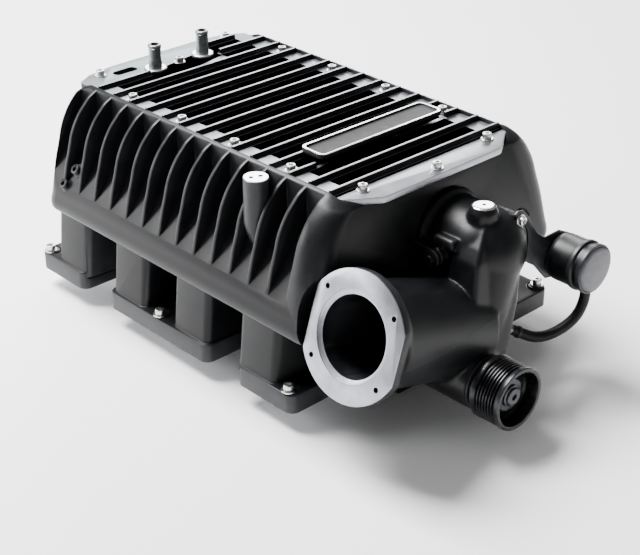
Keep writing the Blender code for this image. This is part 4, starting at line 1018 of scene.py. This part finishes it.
# ---------------------------------------------------------------- inlet and elbow
@dataclass
class InletHousing:
    """The throttle flange and tube, the throat, the snout and the bypass elbow, cast as one skin."""

    elbow: Point3 = (0.014, -0.288, 0.167)
    elbow_radius: float = 0.0425
    seat_y: float = -0.2348
    split_z: float = 0.118
    snout_radius: float = 0.0300
    snout_front: float = -0.3412
    flange_radius: float = 0.0645
    flange_flat: float = 0.056
    flange_outer_flat: float = 0.0595
    flange_thick: float = 0.0110
    bore: float = 0.040
    web: tuple = ((0.2030, -0.006, 0.014, -0.3050), (0.1860, -0.023, 0.0265, -0.3140),
                  (0.1730, -0.032, 0.0310, -0.3185), (0.1520, -0.037, 0.0334, -0.3220),
                  (0.1176, -0.046, 0.0246, -0.3280), (0.0903, -0.056, 0.0134, -0.3320),
                  (0.0653, -0.066, 0.0003, -0.3355))
    web_back: float = -0.2850
    voxel: float = 0.00155
    rounds: int = 9

    @staticmethod
    def tube_point(distance: float) -> Vector:
        """A point along the tube's axis, from its flange face."""
        return Vector((-0.171, -0.290, 0.141)) + InletHousing.tube_way() * distance

    @staticmethod
    def tube_way() -> Vector:
        """The tube's direction, down towards the rotors."""
        tilt = math.radians(18)
        return Vector((math.cos(tilt), 0.0, -math.sin(tilt)))

    def web_shape(self) -> Shape:
        """The flat-faced web that runs from the dome down to the snout, leaning forward."""
        def place(point: Point2, station: int) -> Point3:
            """Where a point of the unit outline lies at a station."""
            z, low, high, front = self.web[station]
            across = (low + high) / 2 + point[0] * (high - low) / 2
            return (across, (front + self.web_back) / 2 + point[1] * (self.web_back - front) / 2, z)

        outline = rounded_rectangle((-1.0, -1.0), (1.0, 1.0), 0.16, 4)
        return Shape.lofted(outline, len(self.web), place)

    def skin(self) -> Shape:
        """The whole casting as one soft-cornered skin."""
        x, y, z = self.elbow
        snout_x, snout_z = -LAYOUT.rotor_x, LAYOUT.rotor_z
        solids = [
            Shape.rod(self.tube_point(0.004), self.tube_point(0.160), 0.0538, 0.0502, 96),
            Shape.rod(self.tube_point(0.004), self.tube_point(0.022), 0.0590, 0.0538, 96),
            Shape.box((-0.074, -0.290, 0.046), (0.050, -0.2388, 0.1075)),
            Shape.rod((snout_x, self.snout_front, snout_z), (snout_x, -0.245, snout_z), self.snout_radius, None, 96),
            Shape.rod((x, y, z), (x, self.seat_y, z), self.elbow_radius, None, 96),
            Shape.ball((x, y, z), self.elbow_radius, 64),
            Shape.rod((x, -0.2440, z), (x, self.seat_y, z), 0.0470, 0.0474, 96),
            Shape.rod((x, y, z + 0.004), (-0.016, -0.304, 0.078), 0.0405, 0.0285, 96),
            self.web_shape(),
            Shape.rod((0.005, -0.292, 0.190), (0.005, -0.292, 0.2135), 0.0152, 0.0148, 64),
            Shape.rod((0.005, -0.292, 0.2130), (0.005, -0.292, 0.2190), 0.0140, 0.0118, 64),
            Shape.rod((-0.036, -0.268, z), (0.064, -0.268, z), 0.0092, None, 48),
            Shape.rod((0.038, -0.280, 0.198), (0.038, -0.3084, 0.198), 0.0062, None, 40),
            Shape.rod((-0.0290, -0.262, 0.184), (-0.0290, -0.288, 0.1840), 0.0062, None, 40),
        ]
        return union(solids)

    def build(self) -> None:
        """Makes the casting in its two pieces, its seat, its flange and the snout's nose."""
        whole = self.skin()
        whole.cast(self.voxel, self.rounds)
        whole.combined(Join.CUT, Shape.rod(self.tube_point(-0.02), self.tube_point(0.125), self.bore, None, 96),
                       Shape.rod((0.005, -0.292, 0.212), (0.005, -0.292, 0.223), 0.0022, None, 24))
        upper = whole.copy().sliced((0, 0, self.split_z + LAYOUT.gap / 2), (0, 0, -1))
        lower = whole.sliced((0, 0, self.split_z), (0, 0, 1))
        upper.piece("bypass_housing", [POWDER_COAT, POLISHED], "casting_black", stands_for=["bypass_housing"],
                    pick=lambda face: int(face.calc_center_median().z > 0.2178), crease=60.0)
        lower.piece("inlet_housing", [POWDER_COAT], "casting_black", stands_for=["inlet_housing"], crease=60.0)
        self.build_seat()
        self.build_flange()
        self.build_nose()

    def build_seat(self) -> None:
        """The machined seat that meets the rotor case's end plate."""
        wall = arc((-LAYOUT.rotor_x, LAYOUT.rotor_z), 0.0545, 180, 250, 16)
        left = [(wall[0][0], 0.1125)] + wall + [(-0.050, 0.0)]
        seat = Shape.prism(left + [(-x, z) for x, z in reversed(left)], -0.2400, -0.2088, Axis.Y)
        seat.rounded(0.0030, 35.0, 3)
        seat.piece("throat_seat", [POWDER_COAT], "casting_black")

    def build_flange(self) -> None:
        """The throttle flange, milled on its face, with a step at its bore and four holes."""
        limit = math.degrees(math.acos(-self.flange_flat / self.flange_radius))
        first = math.degrees(math.acos(self.flange_outer_flat / self.flange_radius))
        outline = arc((0.0, 0.0), self.flange_radius, first, limit, 36)
        outline += arc((0.0, 0.0), self.flange_radius, -limit, -first, 36)
        flange = Shape.prism(outline, 0.0, self.flange_thick, Axis.Z)
        flange.rounded(0.0009, 50.0, 2)
        across = Vector((0.0, -1.0, 0.0))
        way = self.tube_way()
        upward = way.cross(across)
        place = Matrix.Translation(self.tube_point(0.0)) @ Matrix((across, upward, way)).transposed().to_4x4()
        holes = [Shape.rod((u, v, -0.002), (u, v, 0.009), 0.0028, None, 28)
                 for u in both_sides(0.043) for v in both_sides(0.0348)]
        step = Shape.turned([(0.0, -0.002), (0.0450, -0.002), (0.0446, 0.0006), (0.0405, 0.0030), (0.0, 0.0030)],
                            (0, 0, 0), (0, 0, 1), 96)
        bore = Shape.rod((0, 0, -0.005), (0, 0, 0.02), self.bore, None, 96)
        flange.combined(Join.CUT, step, bore, *holes)
        flange.moved(place)
        flange.piece("throttle_flange", [POWDER_COAT, MILLED], "casting_black",
                     pick=lambda face: int(face.normal.dot(way) < -0.25))

    def build_nose(self) -> None:
        """The bearing cover at the snout's front."""
        profile = [(0.0105, 0.0076), (0.0236, 0.0076), (0.0244, 0.0068), (0.0262, 0.0060), (0.0266, 0.0032),
                   (0.0284, 0.0022), (0.0288, 0.0004), (0.0284, 0.0), (0.0105, 0.0)]
        nose = Shape.turned(profile, (-LAYOUT.rotor_x, self.snout_front - LAYOUT.gap, LAYOUT.rotor_z), (0, -1, 0),
                            72, closed=True)
        nose.piece("snout_nose", [POWDER_COAT], "casting_black", stands_for=["snout_nose"])


# ---------------------------------------------------------------- pulley
@dataclass
class Pulley:
    """The ribbed belt pulley and its bolt, which turn with the drive rotor."""

    front: float = 0.386
    rear: float = 0.350
    radius: float = 0.033
    groove: float = 0.0028
    rib_pitch: float = 0.00356
    grooves: int = 7

    def build(self) -> None:
        """Makes the pulley with its V grooves, and its bolt."""
        start = (-LAYOUT.rotor_x, 0.0, LAYOUT.rotor_z)
        hub = self.front - 0.012
        outer = [(self.radius - 0.0030, self.front), (self.radius - 0.0006, self.front - 0.0003),
                 (self.radius, self.front - 0.0012), (self.radius, self.front - 0.0045)]
        first = (self.front + self.rear) / 2 + self.rib_pitch * (self.grooves - 1) / 2
        for number in range(self.grooves):
            middle = first - number * self.rib_pitch
            outer += [(self.radius - 0.0006, middle + 0.0014), (self.radius - self.groove, middle + 0.0003),
                      (self.radius - self.groove, middle - 0.0003), (self.radius - 0.0006, middle - 0.0014)]
        outer += [(self.radius, self.rear + 0.0045), (self.radius, self.rear + 0.0008),
                  (self.radius - 0.0008, self.rear)]
        inner = [(0.0280, self.rear), (0.0270, self.rear + 0.010), (0.0160, self.rear + 0.010),
                 (0.0150, self.rear + 0.001), (0.0088, self.rear + 0.001), (0.0088, hub), (0.0165, hub),
                 (0.0172, hub - 0.0006), (0.0182, hub - 0.0030), (0.0245, hub - 0.0042), (0.0262, hub - 0.0020),
                 (0.0280, self.front - 0.0022), (0.0288, self.front - 0.0004)]
        pulley = Shape.turned(outer + inner, start, (0, -1, 0), 96, closed=True)
        hub_y = -hub
        pulley.piece("drive_pulley", [ANODISED, HUB_FACE], "pulley_black", "drive_train", ["drive_pulley"],
                     pick=lambda face: self.on_hub(face, hub_y), crease=25.0)
        bolt = Shape.turned([(0.0, hub + 0.0024), (0.0024, hub + 0.0024), (0.0032, hub + 0.0030),
                             (0.0036, hub + 0.0055), (0.0084, hub + 0.0055), (0.0092, hub + 0.0048),
                             (0.0094, hub + 0.0030), (0.0112, hub + 0.0022), (0.0115, hub + 0.0003),
                             (0.0, hub + 0.0003)], start, (0, -1, 0), 64)
        bolt.piece("pulley_bolt", [HUB_FACE], "steel_turned", "drive_train", ["pulley_bolt"], crease=25.0)

    def on_hub(self, face: bmesh.types.BMFace, hub_y: float) -> int:
        """Whether a face is on the recessed hub disc."""
        middle = face.calc_center_median()
        reach = math.hypot(middle.x + LAYOUT.rotor_x, middle.z - LAYOUT.rotor_z)
        return int(reach < 0.0185 and middle.y < hub_y + 0.0035)


# ---------------------------------------------------------------- bypass levers and actuator
@dataclass
class BypassLinkage:
    """The levers on the valve's shaft."""

    valve_y: float = -0.268
    valve_z: float = 0.167
    arm: float = 0.020
    half_swing: float = math.radians(37.5)

    def build(self) -> None:
        """Makes the stop lever, the drive lever with its pin, and the shaft's nut."""
        axis = (self.valve_y, self.valve_z)
        stop = arc(axis, 0.0105, 95, 315, 24)
        stop += arc((self.valve_y + 0.0215, self.valve_z + 0.0100), 0.0028, -65, 115, 10)
        lever = Shape.prism(stop, -0.0435, -0.0400, Axis.X).rounded(0.0005, 50.0, 2)
        lever.with_shape(Shape.turned([(0.0, 0.0032), (0.0044, 0.0032), (0.0050, 0.0026), (0.0050, 0.0),
                                       (0.0, 0.0)], (-0.0430, *axis), (-1, 0, 0), 6))
        lever.piece("bypass_stop_lever", [PHOSPHATED], "steel_black", "bypass_valve", ["bypass_stop_lever"])
        pin = (self.valve_y + self.arm * math.sin(self.half_swing),
               self.valve_z - self.arm * math.cos(self.half_swing))
        heading = math.degrees(math.atan2(pin[1] - axis[1], pin[0] - axis[0]))
        outline = arc(axis, 0.0085, heading + 90, heading + 270, 24)
        outline += arc(pin, 0.005, heading - 90, heading + 90, 16)
        drive = Shape.prism(outline, 0.0955, 0.0985, Axis.X).rounded(0.0005, 50.0, 2)
        drive.with_shape(Shape.rod((0.0965, *pin), (0.1085, *pin), 0.0025, None, 32).rounded(0.0004, 50.0, 2))
        drive.with_shape(Shape.turned([(0.0, 0.0020), (0.0052, 0.0020), (0.0058, 0.0014), (0.0058, 0.0),
                                       (0.0, 0.0)], (0.0980, *axis), (1, 0, 0), 6))
        drive.piece("bypass_lever", [PHOSPHATED], "steel_black", "bypass_valve", ["bypass_lever"])


@dataclass
class Actuator:
    """The vacuum can on its bracket, with its cap."""

    axis: Point2 = (0.104, 0.137)
    rear_y: float = -0.312
    radius: float = 0.027
    plate_y: Point2 = (-0.3117, -0.3091)

    def build(self) -> None:
        """Makes the can, its cap, its bracket and the bracket's screw."""
        x, z = self.axis
        start = (x, self.rear_y, z)
        profile = [(0.0045, 0.0), (0.0215, 0.0), (0.0232, 0.0010), (0.0250, 0.0050), (0.0254, 0.0080),
                   (0.0254, 0.0285), (0.0259, 0.0300), (0.0268, 0.0304), (0.0270, 0.0312), (0.0270, 0.0342),
                   (0.0266, 0.0350), (0.0256, 0.0356), (0.0250, 0.0364), (0.0250, 0.0400), (0.0262, 0.0408),
                   (0.0264, 0.0420), (0.0264, 0.0455), (0.0258, 0.0463), (0.0246, 0.0463), (0.0243, 0.0455),
                   (0.0240, 0.0300), (0.0235, 0.007), (0.0215, 0.002), (0.0045, 0.002)]
        can = Shape.turned(profile, start, (0, -1, 0), 72, closed=True)
        can.with_shape(Shape.rod((0.1185, -0.330, 0.1187), (0.1226, -0.330, 0.1130), 0.0044, 0.0040, 32))
        can.piece("actuator_can", [PHOSPHATED], "steel_black", stands_for=["actuator_can"], crease=25.0)
        cap = Shape.turned([(0.0, 0.0490), (0.0200, 0.0488), (0.0225, 0.0482), (0.0238, 0.0470), (0.0240, 0.0455),
                            (0.0, 0.0455)], start, (0, -1, 0), 72)
        cap.piece("actuator_cap", [GREY_NYLON], "cap_satin", stands_for=["actuator_cap"], crease=40.0)
        self.build_bracket()

    def build_bracket(self) -> None:
        """The sheet bracket between the elbow's stud and the can."""
        x, z = self.axis
        beside_dome = arc((0.014, 0.167), 0.0395, -28, 62, 14)
        outline = beside_dome + [(0.030, 0.2060), (0.034, 0.2085), (0.043, 0.2070), (0.0500, 0.1985),
                                 (0.067, 0.1735), (0.080, 0.1640), (0.104, 0.1640), (0.120, 0.1560),
                                 (0.127, 0.1440), (0.127, 0.1280), (0.119, 0.1160), (0.104, 0.1115),
                                 (0.086, 0.1150), (0.067, 0.136)]
        plate = Shape.prism(outline, self.plate_y[0], self.plate_y[1], Axis.Y).rounded(0.0005, 50.0, 2)
        plate.combined(Join.CUT, Shape.rod((x, -0.33, z), (x, -0.30, z), 0.0045, None, 32))
        plate.piece("actuator_bracket", [PHOSPHATED], "steel_black", stands_for=["actuator_bracket"])
        screw = Screw(0.0046, 0.0036, 0.0064, 0.0012, 0.003).placed((0.038, self.plate_y[0], 0.198), (0, -1, 0))
        screw.piece("bracket_screw", [ZINC], "bolt_zinc")


@dataclass
class VacuumHose:
    """The rubber hose from the can down to the nipple on the inlet."""

    radius: float = 0.0058
    route: tuple[Point3, ...] = ((0.1201, -0.330, 0.1164), (0.1243, -0.3303, 0.1105), (0.1283, -0.3308, 0.1015),
                                 (0.1300, -0.331, 0.0895), (0.1270, -0.3308, 0.0765), (0.1195, -0.3295, 0.065),
                                 (0.1090, -0.3255, 0.056), (0.0975, -0.320, 0.0498), (0.0865, -0.3145, 0.0473),
                                 (0.0755, -0.3088, 0.0488), (0.0640, -0.302, 0.055), (0.0545, -0.2962, 0.0608))

    def build(self) -> None:
        points = smooth_route(self.route, 4)
        curve = bpy.data.curves.new("vacuum_hose", "CURVE")
        curve.dimensions = "3D"
        curve.bevel_depth = self.radius
        curve.bevel_resolution = 6
        curve.use_fill_caps = True
        spline = curve.splines.new("POLY")
        spline.points.add(len(points) - 1)
        for knot, place in zip(spline.points, points):
            knot.co = (*place, 1.0)
        spline.use_smooth = True
        curve.materials.append(RUBBER.material())
        hose = bpy.data.objects.new("vacuum_hose", curve)
        bpy.context.scene.collection.objects.link(hose)
        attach(hose, HOUSING)
        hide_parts("vacuum_hose")
        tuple(self.route[0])
        heading = (points[-1] - points[-2]).normalized()
        nipple = Shape.turned([(0.0, 0.0120), (0.0042, 0.0120), (0.0042, 0.0032), (0.0060, 0.0030),
                               (0.0060, 0.0003), (0.0, 0.0003)], points[-1], heading, 40)
        nipple.piece("vacuum_nipple", [TURNED_STEEL], "steel_turned")
        clamps = Shape()
        for near, far in ((points[3], points[2]), (points[-4], points[-3])):
            clamps.with_shape(Shape.turned([(0.0059, 0.0016), (0.0065, 0.0016), (0.0067, 0.0), (0.0065, -0.0016),
                                            (0.0059, -0.0016)], near, far - near, 40, closed=True))
        clamps.piece("hose_clamps", [PHOSPHATED], "steel_black")


# ---------------------------------------------------------------- carried-over nodes
@dataclass
class InnerWorks:
    """The pieces whose shapes the design already has right, which get their finishes here."""

    finishes: dict[str, Finish] = field(default_factory=lambda: {
        "lid_seal": RUBBER, "intercooler_core": BRAZED, "front_bearing_plate": FLY_CUT,
        "drive_rotor": ROTOR_COAT, "driven_rotor": ROTOR_COAT, "drive_gear": GROUND_STEEL,
        "driven_gear": GROUND_STEEL, "drive_shaft": GROUND_STEEL, "bypass_shaft": TURNED_STEEL,
        "actuator_rod": TURNED_STEEL, "bypass_plate": BRASS})

    def build(self) -> None:
        """Dresses every CAD node that is still shown."""
        for name, node in frame["nodes"].items():
            if node.hide_render:
                continue
            finish = self.finishes.get(name, GROUND_STEEL if "bearing" in name else POWDER_COAT)
            node.data.materials.clear()
            node.data.materials.append(finish.material())
            log.info("%-26s keeps its shape, in %s", name, finish.name)


# ---------------------------------------------------------------- studio
@dataclass
class Studio:
    """A pale floor, soft lights and the camera."""

    camera_at: Point3 = (-1.0015, -1.1285, 0.8487)
    right: Point3 = (0.72755, -0.68605, 0.0)
    up: Point3 = (0.32905, 0.34896, 0.87747)
    back: Point3 = (-0.60199, -0.6384, 0.47963)
    lens: float = 84.0
    floor_half: float = 30.0

    def build(self) -> None:
        """Makes the camera, the floor and the lights."""
        self.build_camera()
        self.build_floor()
        self.build_world()
        target = Vector((0.0, -0.05, 0.12))
        self.lamp("key", (-0.4, 1.0, 2.2), target, (1.3, 1.3), 250.0)
        self.lamp("flank", (-1.7, 1.7, 0.8), target, (0.8, 0.8), 40.0)
        self.lamp("sheen", (1.7, 1.7, 1.3), target, (1.5, 0.9), 55.0)

    def build_camera(self) -> None:
        """The camera, from its place and its three axes."""
        data = bpy.data.cameras.new("camera")
        data.lens = self.lens
        data.sensor_width = 36.0
        data.clip_start = 0.05
        data.clip_end = 100.0
        camera = bpy.data.objects.new("camera", data)
        turn = Matrix((self.right, self.up, self.back)).transposed().to_4x4()
        camera.matrix_world = Matrix.Translation(self.camera_at) @ turn
        bpy.context.scene.collection.objects.link(camera)
        bpy.context.scene.camera = camera

    def build_floor(self) -> None:
        """A wide pale floor under the belly."""
        bm = bmesh.new()
        bmesh.ops.create_grid(bm, x_segments=1, y_segments=1, size=self.floor_half)
        mesh = bpy.data.meshes.new("floor")
        bm.to_mesh(mesh)
        bm.free()
        floor = bpy.data.objects.new("floor", mesh)
        look = bpy.data.materials.new("matt_white_paper")
        look.use_nodes = True
        shader = look.node_tree.nodes["Principled BSDF"]
        shader.inputs["Base Color"].default_value = linear("#ffffff")
        shader.inputs["Roughness"].default_value = 0.9
        mesh.materials.append(look)
        bpy.context.scene.collection.objects.link(floor)

    def build_world(self) -> None:
        """Even white light from all round."""
        world = bpy.data.worlds.new("studio")
        world.use_nodes = True
        backdrop = world.node_tree.nodes["Background"]
        backdrop.inputs["Color"].default_value = (1.0, 1.0, 1.0, 1.0)
        backdrop.inputs["Strength"].default_value = 0.25
        bpy.context.scene.world = world

    def lamp(self, name: str, at: Point3, target: Vector, size: Point2, power: float) -> None:
        """A soft area light that faces the target."""
        data = bpy.data.lights.new(name, "AREA")
        data.shape = "RECTANGLE"
        data.size, data.size_y = size
        data.energy = power
        light = bpy.data.objects.new(name, data)
        light.matrix_world = along(at, Vector(at) - target)
        bpy.context.scene.collection.objects.link(light)


def main() -> None:
    """Builds the studio and every sub-assembly, in order."""
    for thing in list(bpy.context.scene.objects):
        if thing.type in ("LIGHT", "CAMERA") or thing.name == "Cube":
            bpy.data.objects.remove(thing)
    for part in (Studio(), VacuumHose(), PlenumHousing(), Lid(), Runners(), RotorCase(), InletHousing(),
                 Pulley(), BypassLinkage(), Actuator(), InnerWorks()):
        log.info("%s", type(part).__name__)
        part.build()


if __name__ == "__main__":
    main()
